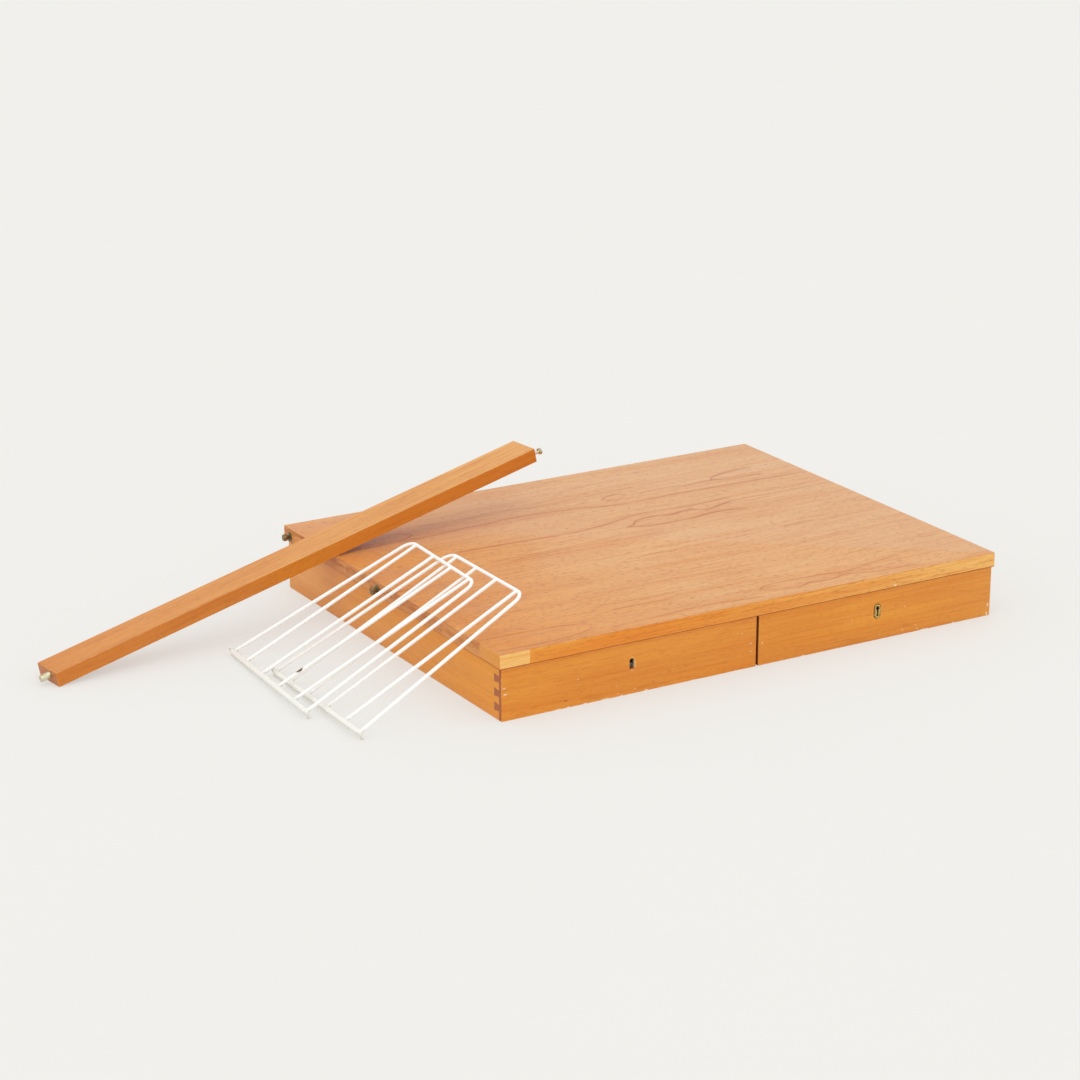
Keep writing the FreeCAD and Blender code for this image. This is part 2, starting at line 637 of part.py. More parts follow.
# Cross rail: a loose bar of the same bay, one end on the floor, leaning on the top's left edge.
# Its own frame has x along the bar from the end on the floor, y across it and z through its thickness.
rail_reach = -size("rail_foot_x") / math.cos(math.radians(size("rail_turn_angle")))
rail_slope = slope_to(value(f"{TOP_FACE} + rail_rest_gap"), rail_reach)
rail_turn = FreeCAD.Rotation(size("rail_turn_angle"), -rail_slope, 0)
rail_place = ("rail_foot_x", "rail_foot_y", "0")
rail_blank = box("rail_blank", ("rail_length", "rail_width", "rail_thickness"), ("0", "0", "0"),
                 centred=False)
rail_rounded = doc.addObject("Part::Fillet", "rail_rounded")
rail_rounded.Base = rail_blank
doc.recompute()
rail_round = size("rail_edge_round")
rail_edges = range(1, len(rail_blank.Shape.Edges) + 1)
rail_rounded.Edges = [(number, rail_round, rail_round) for number in rail_edges]
rail_ends = {"left": ("0", "rail_left_pin_setback", "rail_left_pin_height"),
             "right": ("rail_length", "rail_right_pin_setback", "rail_right_pin_height")}
rail_bores = [rod(f"rail_{end}_bore", "rail_pin_shank_radius + turned_fit", "rail_pin_shank_length",
                  place, INWARD[end], centred=False)
              for end, place in rail_ends.items()]
rail_heads = {
    "left": [("rail_left_pin_radius", None, "rail_left_pin_length - rail_pin_chamfer"),
             ("rail_left_pin_radius", "rail_left_pin_radius - rail_pin_chamfer", "rail_pin_chamfer")],
    "right": [("rail_right_neck_radius", None, "rail_right_neck_length"),
              ("rail_right_collar_radius", None, "rail_right_collar_length"),
              ("rail_right_neck_radius", None, "rail_right_groove_length"),
              ("rail_right_head_radius", None, "rail_right_head_length - rail_pin_chamfer"),
              ("rail_right_head_radius", "rail_right_head_radius - rail_pin_chamfer", "rail_pin_chamfer")],
}
rail_pieces = [piece("cross_rail", cut("cross_rail", rail_rounded, *rail_bores))]
for end, place in rail_ends.items():
    name = f"rail_{end}_pin"
    shank = rod(f"{name}_shank", "rail_pin_shank_radius", "rail_pin_shank_length", place, INWARD[end],
                centred=False)
    head = turned(f"{name}_head", place, OUTWARD[end], rail_heads[end], centred=False)
    rail_pieces.append(piece(name, fuse(name, shank, head)))
for item in rail_pieces:
    seat(item, rail_place, rail_turn)


def bent_wire(points, radii):
    """A path of straight runs through points, each inner corner rounded by an arc of its own radius."""
    edges = []
    start = points[0]
    for before, corner, after, radius in zip(points, points[1:], points[2:], radii):
        way_in, way_out = (corner - before).normalize(), (after - corner).normalize()
        half_turn = way_in.getAngle(way_out) / 2
        tangent = radius * math.tan(half_turn)
        first, last = corner - way_in * tangent, corner + way_out * tangent
        to_centre = (way_out - way_in).normalize()
        centre_reach = math.hypot(tangent, radius)
        middle = corner + to_centre * (centre_reach - radius)
        edges += [Part.LineSegment(start, first).toShape(), Part.Arc(first, middle, last).toShape()]
        start = last
    edges.append(Part.LineSegment(start, points[-1]).toShape())
    return Part.Wire(edges)


def rack_shapes():
    """One wire rack in its own frame: x up its slope, y along its foot, z square to its plane."""
    wire_radius, height = size("rack_wire_radius"), size("rack_height")
    foot, top, hook = size("rack_foot_half"), size("rack_top_half"), size("rack_hook_length")
    points = [FreeCAD.Vector(0, foot, hook), FreeCAD.Vector(0, foot, 0), FreeCAD.Vector(height, top, 0),
              FreeCAD.Vector(height, -top, 0), FreeCAD.Vector(0, -foot, 0), FreeCAD.Vector(0, -foot, -hook)]
    bend, corner = size("rack_hook_bend"), size("rack_corner_radius")
    path = bent_wire(points, [bend, corner, corner, bend])
    section = Part.Wire(Part.Circle(points[0], -Z_AXIS, wire_radius).toShape())
    frame = path.makePipeShell([section], True, False)
    rod_half = foot - size("rack_rod_end_gap")
    rod_start = FreeCAD.Vector(0, -rod_half, 0)
    foot_rod = Part.makeCylinder(size("rack_rod_radius"), 2 * rod_half, rod_start, Y_AXIS).cut(frame)
    wires = []
    for number in range(WIRES_PER_RACK):
        y = (number - (WIRES_PER_RACK - 1) / 2) * size("rack_wire_pitch")
        wire = Part.makeCylinder(wire_radius, height, FreeCAD.Vector(0, y, 0), X_AXIS)
        wires.append(wire.cut(frame).cut(foot_rod))
    return {"frame": frame, "wires": Part.makeCompound(wires), "foot_rod": foot_rod}


# Wire racks: a bent frame, four wires and a thicker foot rod welded together and dipped in white enamel.
# The lower rack leans on the top's edge, the upper one on the floor and on the lower rack.
RACK_REST = {"lower": "(rack_wire_radius + lower_rack_gap)",
             "upper": "(3 * rack_wire_radius + upper_rack_gap)"}
for rack in ("lower", "upper"):
    rack_rise = value(f"{TOP_FACE} + {RACK_REST[rack]} - rack_foot_z")
    rack_tilt = slope_to(rack_rise, -size(f"{rack}_rack_x"))
    rack_turn = FreeCAD.Rotation(-size(f"{rack}_rack_turn_angle"), -rack_tilt, size("rack_roll_angle"))
    for part_name, shape in rack_shapes().items():
        item = doc.addObject("Part::Feature", f"{rack}_rack_{part_name}")
        item.Shape = shape
        seat(item, (f"{rack}_rack_x", f"{rack}_rack_y", "rack_foot_z"), rack_turn)
        piece(f"{rack}_rack_{part_name}", item)

# The set's footprint is centred on the origin.
doc.recompute()
footprint = FreeCAD.BoundBox()
for item in pieces:
    footprint.add(item.Shape.optimalBoundingBox(False))
for cell, centre in zip(CENTRE_CELLS.values(), (footprint.Center.x, footprint.Center.y)):
    sheet.set(cell, str(round(centre, 4)))
doc.recompute()

faults = [item.Name for item in doc.Objects if {"Invalid", "Error"} & set(item.State)]
faults += [item.Label for item in pieces if item.Shape.isNull() or not item.Shape.isValid()]
if faults:
    raise RuntimeError("failed pieces: " + ", ".join(faults))

os.makedirs("parts", exist_ok=True)
for item in pieces:
    item.Shape.exportStep(f"parts/{item.Label}.step")
print(len(pieces), "pieces, footprint centre", size("set_centre_x"), size("set_centre_y"))
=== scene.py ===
import math

import bpy
from mathutils import Euler, Matrix, Vector


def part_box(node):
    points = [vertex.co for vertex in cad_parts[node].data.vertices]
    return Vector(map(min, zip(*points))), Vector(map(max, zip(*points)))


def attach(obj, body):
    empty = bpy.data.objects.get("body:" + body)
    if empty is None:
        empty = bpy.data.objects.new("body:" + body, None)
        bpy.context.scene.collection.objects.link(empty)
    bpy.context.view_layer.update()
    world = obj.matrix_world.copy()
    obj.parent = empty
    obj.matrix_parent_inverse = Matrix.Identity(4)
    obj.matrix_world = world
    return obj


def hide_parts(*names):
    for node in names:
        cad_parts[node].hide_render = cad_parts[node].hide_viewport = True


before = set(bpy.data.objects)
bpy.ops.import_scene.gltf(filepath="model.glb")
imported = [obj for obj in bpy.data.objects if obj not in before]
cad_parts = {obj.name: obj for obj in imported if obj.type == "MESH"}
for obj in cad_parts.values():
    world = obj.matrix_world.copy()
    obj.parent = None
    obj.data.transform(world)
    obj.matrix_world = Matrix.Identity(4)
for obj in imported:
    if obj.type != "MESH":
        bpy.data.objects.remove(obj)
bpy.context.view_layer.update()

# Core of the top: blockboard, pale softwood staves glued edge to edge between the edge bands.
# It is closed in on every side, and shows only inside the bores for pegs and screws.


def linear(code):
    """The linear colour of an sRGB hex value."""
    parts = [int(code[i:i + 2], 16) / 255 for i in (1, 3, 5)]
    return [c / 12.92 if c <= 0.04045 else ((c + 0.055) / 1.055) ** 2.4 for c in parts] + [1.0]


def node(tree, kind, inputs=None, **settings):
    """Adds one node with its settings; an input takes a value, a socket or another node's result."""
    made = tree.nodes.new("ShaderNode" + kind)
    for name, value in settings.items():
        setattr(made, name, value)
    for key, value in (inputs or {}).items():
        socket = made.inputs[key] if isinstance(key, int) else next(
            s for s in made.inputs if s.name == key and s.enabled)
        if isinstance(value, bpy.types.Node):
            value = next(s for s in value.outputs if s.enabled)
        if isinstance(value, bpy.types.NodeSocket):
            tree.links.new(value, socket)
        else:
            socket.default_value = value
    return made


def new_finish(name, **plain):
    """A new material with its tree, its shader and the piece's own coordinates; plain values are set."""
    material = bpy.data.materials.new(name)
    material.use_nodes = True
    tree = material.node_tree
    shader = tree.nodes["Principled BSDF"]
    for socket, value in plain.items():
        shader.inputs[socket.replace("_", " ")].default_value = value
    place = node(tree, "TexCoord").outputs["Object"]
    return material, tree, shader, place


def layered(tree, shader, base, layers):
    """Lays colours over a base, each by its own factor, as the shader's colour."""
    colour = linear(base)
    for factor, code in layers:
        colour = node(tree, "Mix", {"Factor": factor, "A": colour, "B": linear(code)}, data_type='RGBA')
    tree.links.new(colour.outputs[2], shader.inputs["Base Color"])
    return colour


def dress(material, *names):
    """Gives CAD nodes their finish."""
    for name in names:
        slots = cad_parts[name].data.materials
        slots.clear()
        slots.append(material)


MM = 0.001
# Sawn softwood: dull, each stave a little lighter or darker than the next, with fine streaks along it.
STAVE, STREAK_LENGTH, STREAK_WIDTH = 24 * MM, 200 * MM, 2 * MM
blockboard, tree, shader, place = new_finish("sawn_softwood_staves", Roughness=0.75)
across = node(tree, "SeparateXYZ", {"Vector": place}).outputs["Y"]
stave = node(tree, "Math", {0: across, 1: STAVE}, operation='SNAP')
stave_tint = node(tree, "TexWhiteNoise", {"W": stave}, noise_dimensions='1D')
fine = (1 / STREAK_LENGTH, 1 / STREAK_WIDTH, 1 / STREAK_WIDTH)
grain = node(tree, "VectorMath", {0: place, 1: fine}, operation='MULTIPLY')
streak = node(tree, "TexNoise", {"Vector": grain, "Scale": 1.0})
layered(tree, shader, "#E3C99B", [(stave_tint, "#D2B17F"), (streak, "#DDBD8A")])
dress(blockboard, "top_core")


# Front lipping and back band: solid teak strips glued along the long edges of the core.
# They are planed flush and oiled; the front strip runs into pale sapwood towards its right end.


BARE_WOOD = "#F2E0C2"


def teak(name, pose, board, palette, figure=(), fade=None, paler_upper_face=None, nicks=(), seed=0.0, rub=0.5,
         show=1.0, coarse=1.0, thin=False):
    """Oiled teak: warm orange heartwood in soft bands, fine redder streaks and veins, open pores that show as
    short dashes, browner end grain and rubbed arrises under a satin of hardened oil. The board's own frame
    has X along the grain, Y across its face and Z through it, in millimetres from its middle.
    figure: growth lines, each with the points of its upper and lower branch, its strength and half width;
    fade: (x from, x to, colour, share, slant) of paler wood along the board, slant being how far its front leans
    back across it; bleach: the same, on its upper face alone;
    nicks: (x, y, half length, half width), pale unless a colour follows; show: how plainly the grain shows;
    coarse: how much wider than its real size the fine grain is drawn, on a face seen at a low angle;
    thin: a veneer, whose cut edges are dark with glue."""
    material, tree, shader, place = new_finish(name, Specular_IOR_Level=0.3)
    location, turn = pose
    grain = node(tree, "Mapping", {"Vector": place, "Location": location, "Rotation": turn,
                                   "Scale": (MM, MM, MM)}, vector_type='TEXTURE')
    along, across = node(tree, "SeparateXYZ", {"Vector": grain}).outputs[:2]

    # Each pattern's length and width in millimetres; the pores are drawn wider than real ones, to show
    spread = {"broad": (420, 46), "ash": (260, 24), "band": (420, 9), "streak": (120, 2.6 * coarse),
              "vein": (330, 17), "pore": (9, 1.5 * coarse), "sway": (46, 22), "rub": (16, 16),
              "chip": (2.2, 2.2)}
    field = {}
    for number, (part, (length, width)) in enumerate(spread.items()):
        scaled = node(tree, "VectorMath", {0: grain, 1: (1 / length, 1 / width, 1 / width)},
                      operation='MULTIPLY')
        field[part] = node(tree, "TexNoise", {"Vector": scaled, "W": seed + 7.3 * number, "Scale": 1.0,
                                              "Detail": 2.0}, noise_dimensions='4D')
    shares = {}
    for part, low, high, most in (("broad", 0.36, 0.64, 1.0), ("ash", 0.45, 0.64, 0.9),
                                  ("band", 0.53, 0.70, 0.45), ("streak", 0.50, 0.67, 0.65),
                                  ("pore", 0.53, 0.68, 0.4)):
        shares[part] = node(tree, "MapRange", {"Value": field[part], "From Min": low, "From Max": high,
                                               "To Max": most * (1.0 if part == "broad" else show)})
    level = node(tree, "Math", {0: field["vein"], 1: 0.5}, operation='SUBTRACT')
    level = node(tree, "Math", {0: level}, operation='ABSOLUTE')
    shares["vein"] = node(tree, "MapRange", {"Value": level, "From Min": 0.012, "From Max": 0.002,
                                             "To Max": 0.25 * show})
    normal = node(tree, "TexCoord").outputs["Normal"]
    board_turn = Euler(turn).to_matrix()
    layers = [(shares["broad"], palette["deep"]), (shares["ash"], palette["ash"])]
    for change, upper_alone in ((fade, False), (paler_upper_face, True)):
        if change:
            start, end, paler, most, slant = change
            front = node(tree, "Math", {0: across, 1: slant, 2: along}, operation='MULTIPLY_ADD')
            ragged = node(tree, "Math", {0: field["band"], 1: 0.6 * (end - start), 2: front},
                          operation='MULTIPLY_ADD')
            share = node(tree, "MapRange", {"Value": ragged, "From Min": start, "From Max": end,
                                            "To Max": most})
            # On the upper face alone, the paler colour is laid only where the face looks upwards
            if upper_alone:
                upward = node(tree, "VectorMath", {0: normal, 1: board_turn @ Vector((0, 0, 1))},
                              operation='DOT_PRODUCT').outputs["Value"]
                upward = node(tree, "MapRange", {"Value": upward, "From Min": 0.5, "From Max": 0.9})
                share = node(tree, "Math", {0: share, 1: upward}, operation='MULTIPLY')
                uneven = node(tree, "MapRange", {"Value": field["ash"], "From Min": 0.35, "From Max": 0.62,
                                                 "To Min": 1.0, "To Max": 0.6})
                share = node(tree, "Math", {0: share, 1: uneven}, operation='MULTIPLY')
            layers.append((share, paler))
    layers += [(shares["band"], palette["streak"]), (shares["streak"], palette["streak"]),
               (shares["vein"], palette["line"]), (shares["pore"], palette["pore"])]

    # Growth lines: where the board is level with the curve of a branch, or with the nearer of two. They sway
    # a little, have a soft blush beside them and taper off at both ends; curves count in shares of the board
    sway, blush_width, taper = 3.0, 12, 12
    if figure:
        board_length, board_width = board[:2]
        swayed = node(tree, "Math", {0: field["sway"], 1: sway, 2: across}, operation='MULTIPLY_ADD')
        swayed = node(tree, "Math", {0: swayed, 1: 1 / board_width, 2: 0.5 - sway / 2 / board_width},
                      operation='MULTIPLY_ADD')
        station = node(tree, "Math", {0: along, 1: 1 / board_length, 2: 0.5}, operation='MULTIPLY_ADD')
        lines = blush = 0.0
        for upper, lower, strength, half_width in figure:
            heights = []
            for branch in (upper, lower):
                curve = node(tree, "FloatCurve", {"Value": station})
                points = curve.mapping.curves[0].points
                spots = [(x / board_length, y / board_width) for x, y in branch]
                for spot, place_at in zip(points, (spots[0], spots[-1])):
                    spot.location = place_at
                for x, y in spots[1:-1]:
                    points.new(x, y)
                curve.mapping.update()
                heights.append(node(tree, "Math", {0: curve, 1: swayed}, operation='SUBTRACT'))
            if lower is upper:
                off = heights[0]
            else:
                under = node(tree, "Math", {0: heights[1], 1: -1.0}, operation='MULTIPLY')
                off = node(tree, "Math", {0: heights[0], 1: under}, operation='MINIMUM')
            off = node(tree, "Math", {0: off}, operation='ABSOLUTE')
            drawn = node(tree, "MapRange", {"Value": off, "From Min": 4.6 * half_width / board_width,
                                            "From Max": 0.3 * half_width / board_width})
            drawn = node(tree, "Math", {0: drawn, 1: 2.2}, operation='POWER')
            drawn = node(tree, "Math", {0: drawn, 1: strength}, operation='MULTIPLY')
            beside = node(tree, "MapRange", {"Value": off, "From Min": blush_width / board_width,
                                             "From Max": 0.0, "To Max": 0.5 * strength})
            first, last = upper[0][0] / board_length, upper[-1][0] / board_length
            apart = node(tree, "Math", {0: station, 1: (first + last) / 2}, operation='SUBTRACT')
            apart = node(tree, "Math", {0: apart}, operation='ABSOLUTE')
            reach = node(tree, "MapRange", {"Value": apart, "From Min": (last - first) / 2,
                                            "From Max": (last - first) / 2 - taper / board_length})
            drawn = node(tree, "Math", {0: drawn, 1: reach}, operation='MULTIPLY')
            lines = node(tree, "Math", {0: drawn, 1: lines}, operation='MAXIMUM')
            beside = node(tree, "Math", {0: beside, 1: reach}, operation='MULTIPLY')
            blush = node(tree, "Math", {0: beside, 1: blush}, operation='MAXIMUM')
        uneven = node(tree, "MapRange", {"Value": field["sway"], "From Min": 0.34, "From Max": 0.58,
                                         "To Min": 0.4, "To Max": 1.0})
        layers += [(node(tree, "Math", {0: blush, 1: uneven}, operation='MULTIPLY'), palette["streak"]),
                   (node(tree, "Math", {0: lines, 1: uneven}, operation='MULTIPLY'), palette["line"])]

    # End grain where the face looks along the board; on a veneer, every cut edge
    cut_axis = board_turn @ Vector((0, 0, 1) if thin else (1, 0, 0))
    facing = node(tree, "VectorMath", {0: normal, 1: cut_axis}, operation='DOT_PRODUCT')
    facing = node(tree, "Math", {0: facing}, operation='ABSOLUTE')
    bare, full = (0.45, 0.2) if thin else (0.6, 0.9)
    cut = node(tree, "MapRange", {"Value": facing, "From Min": bare, "From Max": full, "To Max": 0.85})
    layers.append((cut, palette["end"]))

    # Rubbed arrises: the second nearest side of the board gives the distance to its nearest edge, which is
    # frayed and rubbed pale from about 2.6 mm outwards
    fray, whole, bared = 2.5, 2.6, 1.2
    depth = node(tree, "VectorMath", {0: grain}, operation='ABSOLUTE')
    depth = node(tree, "VectorMath", {0: tuple(Vector(board) / 2), 1: depth}, operation='SUBTRACT')
    a, b, c = node(tree, "SeparateXYZ", {"Vector": depth}).outputs
    near = node(tree, "Math", {0: a, 1: b}, operation='MINIMUM')
    far = node(tree, "Math", {0: a, 1: b}, operation='MAXIMUM')
    far = node(tree, "Math", {0: far, 1: c}, operation='MINIMUM')
    edge = node(tree, "Math", {0: near, 1: far}, operation='MAXIMUM')
    ragged = node(tree, "Math", {0: field["chip"], 1: fray, 2: edge}, operation='MULTIPLY_ADD')
    worn = node(tree, "MapRange", {"Value": ragged, "From Min": whole, "From Max": bared, "To Max": rub})
    rubbed = node(tree, "MapRange", {"Value": field["rub"], "From Min": 0.46, "From Max": 0.62})
    layers.append((node(tree, "Math", {0: worn, 1: rubbed}, operation='MULTIPLY'), palette["rub"]))

    for x, y, half_length, half_width, *shade in nicks:
        reach = (1 / half_length, 1 / half_width, 0)
        apart = node(tree, "VectorMath", {0: grain, 1: reach, 2: (-x / half_length, -y / half_width, 0)},
                     operation='MULTIPLY_ADD')
        radius = node(tree, "VectorMath", {0: apart}, operation='LENGTH')
        torn = node(tree, "Math", {0: field["chip"], 1: 1.6, 2: radius}, operation='MULTIPLY_ADD')
        torn = node(tree, "MapRange", {"Value": torn, "From Min": 2.0, "From Max": 1.6, "To Max": 0.8})
        layers.append((torn, shade[0] if shade else BARE_WOOD))

    layered(tree, shader, palette["pale"], layers)
    gloss = node(tree, "MapRange", {"Value": field["broad"], "From Min": 0.3, "From Max": 0.7,
                                    "To Min": 0.27, "To Max": 0.36})
    tree.links.new(gloss.outputs[0], shader.inputs["Roughness"])
    relief = node(tree, "Math", {0: shares["pore"], 1: -1.0, 2: 1.0}, operation='MULTIPLY_ADD')
    relief = node(tree, "Bump", {"Height": relief, "Strength": 0.25, "Distance": 0.1 * MM})
    tree.links.new(relief.outputs[0], shader.inputs["Normal"])
    return material


def middle_of(name):
    """The middle of a CAD node's box."""
    low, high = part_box(name)
    return (low + high) / 2


def lie_of(name, turn):
    """A board's pose, from its middle and its turn, and its length, width and thickness in that pose."""
    low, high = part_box(name)
    sides = Euler(turn).to_matrix().transposed() @ (high - low)
    return (tuple(middle_of(name)), turn), [abs(side) / MM for side in sides]


FLAT = (0.0, 0.0, 0.0)
UPRIGHT = (math.radians(90), 0.0, 0.0)
UPRIGHT_DEEP = (math.radians(90), 0.0, math.radians(90))
HEARTWOOD = {"pale": "#EC9834", "deep": "#E68A2A", "ash": "#ECA03C", "streak": "#DC7A22", "line": "#AE5616",
             "pore": "#B05818", "end": "#A9623A", "rub": "#F4C47C"}


def work_on(piece):
    """Leaves one piece selected and active."""
    bpy.ops.object.select_all(action='DESELECT')
    piece.select_set(True)
    bpy.context.view_layer.objects.active = piece


def copy_of(mesh, name):
    """A new piece with a mesh of its own, copied from another."""
    piece = bpy.data.objects.new(name, mesh.copy())
    bpy.context.scene.collection.objects.link(piece)
    return piece


def within(point, middle, reach):
    """Whether a point is less than a reach, along each axis, from a middle."""
    return all(abs(a) < b for a, b in zip(point - middle, reach))


MERGED, ON_SIDE = 0.001 * MM, 0.002 * MM


def eased(name, source, width, sharp=(), rim=None, hole=None):
    """A board modelled from its CAD solid: merged to clean faces, then its long arrises rounded over.
    sharp names the sides, such as +z, whose arrises stay crisp because another board meets them; with a rim,
    the edges of that side are rounded instead, apart from those of a hole within a reach of the middle."""
    low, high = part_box(source)
    board = copy_of(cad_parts[source].data, name)
    work_on(board)
    bpy.ops.mesh.customdata_custom_splitnormals_clear()
    bpy.ops.object.mode_set(mode='EDIT')
    bpy.ops.mesh.select_mode(type='EDGE')
    bpy.ops.mesh.select_all(action='SELECT')
    bpy.ops.mesh.remove_doubles(threshold=MERGED)
    bpy.ops.mesh.dissolve_limited(angle_limit=math.radians(0.5))
    bpy.ops.mesh.select_all(action='DESELECT')
    bpy.ops.object.mode_set(mode='OBJECT')
    points = [v.co for v in board.data.vertices]
    middle = middle_of(source)
    for edge in board.data.edges:
        sides = set()
        for axis, letter in enumerate("xyz"):
            for corner, sign in ((low, "-"), (high, "+")):
                if all(abs(points[v][axis] - corner[axis]) < ON_SIDE for v in edge.vertices):
                    sides.add(sign + letter)
        halfway = sum((points[v] for v in edge.vertices), Vector()) / 2
        if rim:
            in_hole = hole is not None and within(halfway, middle, hole)
            edge.select = rim in sides and not in_hole
        else:
            edge.select = len(sides) > 1 and not sides & set(sharp)
    bpy.ops.object.mode_set(mode='EDIT')
    bpy.ops.mesh.bevel(offset=width * MM, segments=3, affect='EDGES')
    bpy.ops.object.mode_set(mode='OBJECT')
    bpy.ops.object.shade_smooth_by_angle(angle=math.radians(32))
    return board


def fit(piece, body, slot, material, *nodes):
    """Gives a modelled piece its finish and its body, in place of the CAD nodes that it stands for."""
    piece.data.materials.clear()
    piece.data.materials.append(material)
    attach(piece, body)
    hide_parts(*nodes)


lipping = eased("front_lipping_strip", "front_lipping", 0.6, sharp=("+z", "-x", "+y"))
lipping_teak = teak("oiled_teak_front_lipping", *lie_of("front_lipping", UPRIGHT), HEARTWOOD,
                    fade=(40, 420, "#F4BE68", 0.9, 0), nicks=[(200, -7, 2.5, 0.9)], seed=3.1)
fit(lipping, "desk_top", "teak_lipping", lipping_teak, "front_lipping")
back_teak = teak("oiled_teak_back_band", *lie_of("back_edge_band", UPRIGHT), HEARTWOOD, seed=4.7)
dress(back_teak, "back_edge_band")

# Corner block: a short piece of pale sapwood let into the front left corner between lipping and band.
# It is flush with both, and its corner is worn round.
SAPWOOD = {"pale": "#F8C474", "deep": "#F0B25C", "ash": "#F6C678", "streak": "#E8A248", "line": "#D08A38",
           "pore": "#D89440", "end": "#DC8C30", "rub": "#F9DBA4"}
block = eased("sapwood_corner_block", "corner_block", 0.8, sharp=("+z", "+x", "+y"))
block_teak = teak("oiled_sapwood_block", *lie_of("corner_block", UPRIGHT), SAPWOOD, seed=9.3)
fit(block, "desk_top", "pale_block", block_teak, "corner_block")

# End bands: short teak blocks glued in a row along both ends of the top and planed flush.
# Each was cut aslant its growth, so brown flames and lines show in patches that stop at the joints.
BLOCK_WIDTH = 62
ends, tree, shader, place = new_finish("oiled_teak_end_blocks", Specular_IOR_Level=0.3, Roughness=0.5)
grain = node(tree, "VectorMath", {0: place, 1: (1 / MM, 1 / MM, 1 / MM)}, operation='MULTIPLY')
row = node(tree, "SeparateXYZ", {"Vector": grain}).outputs["Y"]
cell = node(tree, "TexVoronoi", {"W": row, "Scale": 1 / BLOCK_WIDTH, "Randomness": 0.6},
            voronoi_dimensions='1D')
block_seed, tint = node(tree, "SeparateColor", {"Color": cell.outputs["Color"]}).outputs[:2]
# Each pattern's length along the row and its height, in millimetres
patterns = {}
for number, (part, length, height) in enumerate((("cloud", 30, 20), ("flame", 64, 7), ("line", 110, 8),
                                                 ("speck", 2.6, 1.6))):
    scaled = node(tree, "VectorMath", {0: grain, 1: (1 / height, 1 / length, 1 / height)},
                  operation='MULTIPLY')
    seed = node(tree, "Math", {0: block_seed, 1: 40.0, 2: 7.3 * number}, operation='MULTIPLY_ADD')
    patterns[part] = node(tree, "TexNoise", {"Vector": scaled, "W": seed, "Scale": 1.0, "Detail": 2.0},
                          noise_dimensions='4D')
level = node(tree, "Math", {0: patterns["line"], 1: 0.5}, operation='SUBTRACT')
level = node(tree, "Math", {0: level}, operation='ABSOLUTE')
end_layers = []
for value, low, high, most, code in (
        (tint, 0.2, 0.9, 1.0, "#E29E56"), (patterns["cloud"], 0.4, 0.7, 0.5, "#CE8248"),
        (patterns["flame"], 0.47, 0.68, 0.8, "#B4602A"), (level, 0.025, 0.004, 0.35, "#A0561F"),
        (patterns["speck"], 0.54, 0.70, 0.45, "#B06A34")):
    share = node(tree, "MapRange", {"Value": value, "From Min": low, "From Max": high, "To Max": most})
    end_layers.append((share, code))
layered(tree, shader, "#D8955A", end_layers)
dress(ends, "left_edge_band", "right_edge_band")

# Face and underside: sheets of flat-cut teak veneer pressed on the core, bands and lipping.
# The upper sheet's rim is sanded round; its figure is two matching leaves of long flames.
VENEER = {"pale": "#E49A48", "deep": "#DE8E3C", "ash": "#DA9250", "streak": "#D88C4C", "line": "#B45A04",
          "pore": "#A85A24", "end": "#C06A20", "rub": "#EBC08A"}
low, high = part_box("top_veneer")
bpy.ops.object.select_all(action='DESELECT')
bpy.ops.mesh.primitive_cube_add(size=1.0, location=(low + high) / 2, scale=high - low)
sheet = bpy.context.object
sheet.name = "top_veneer_sheet"
bpy.ops.object.transform_apply(location=True, rotation=True, scale=True)
CORNER, RIM = 1.0 * MM, 0.45 * MM
for to_round, width in ((lambda a, b: abs(a.z - b.z) > 0.1 * MM, CORNER),
                        (lambda a, b: min(a.z, b.z) > high.z - 0.01 * MM, RIM)):
    bpy.ops.object.mode_set(mode='EDIT')
    bpy.ops.mesh.select_mode(type='EDGE')
    bpy.ops.mesh.select_all(action='DESELECT')
    bpy.ops.object.mode_set(mode='OBJECT')
    points = [v.co for v in sheet.data.vertices]
    for edge in sheet.data.edges:
        edge.select = to_round(*(points[v] for v in edge.vertices))
    bpy.ops.object.mode_set(mode='EDIT')
    bpy.ops.mesh.bevel(offset=width, segments=4, affect='EDGES')
    bpy.ops.object.mode_set(mode='OBJECT')
bpy.ops.object.shade_smooth_by_angle(angle=math.radians(30))
# Growth lines of the face, in millimetres from its front left corner. A flame's two branches cross at its
# tip; a plain line has one branch.
RUNS = [
    ([(150, 499), (200, 496), (300, 498), (350, 493), (420, 497), (520, 501)], 0.47, 1.1),
    ([(95, 454), (150, 453), (200, 459), (250, 461), (275, 465), (350, 461), (400, 453), (430, 445), (460, 441),
      (550, 443), (650, 440), (780, 437)], 0.81, 1.1),
    ([(500, 472), (530, 473), (560, 474), (585, 469), (610, 471), (640, 471)], 0.61, 1.2),
    ([(140, 372), (210, 371), (300, 366), (330, 365), (370, 370), (400, 376), (430, 385), (445, 389), (500, 388),
      (560, 386), (610, 390)], 0.88, 1.0),
    ([(590, 374), (640, 375), (680, 374), (780, 377)], 0.54, 1.0),
    ([(160, 315), (300, 317), (340, 322), (400, 323), (450, 319)], 0.47, 0.9),
    ([(190, 304), (300, 309), (350, 306), (440, 307)], 0.47, 0.8),
    ([(150, 297), (260, 299), (380, 296), (470, 300)], 0.34, 0.8),
    ([(590, 241), (620, 242), (655, 243)], 0.61, 1.0),
    ([(200, 69), (250, 70), (305, 66)], 0.61, 0.9),
    ([(190, 92), (280, 87), (320, 85)], 0.41, 0.8),
    ([(165, 15), (200, 16), (240, 19), (280, 22), (310, 24), (345, 22), (380, 17), (410, 15)], 0.7, 0.6),
]
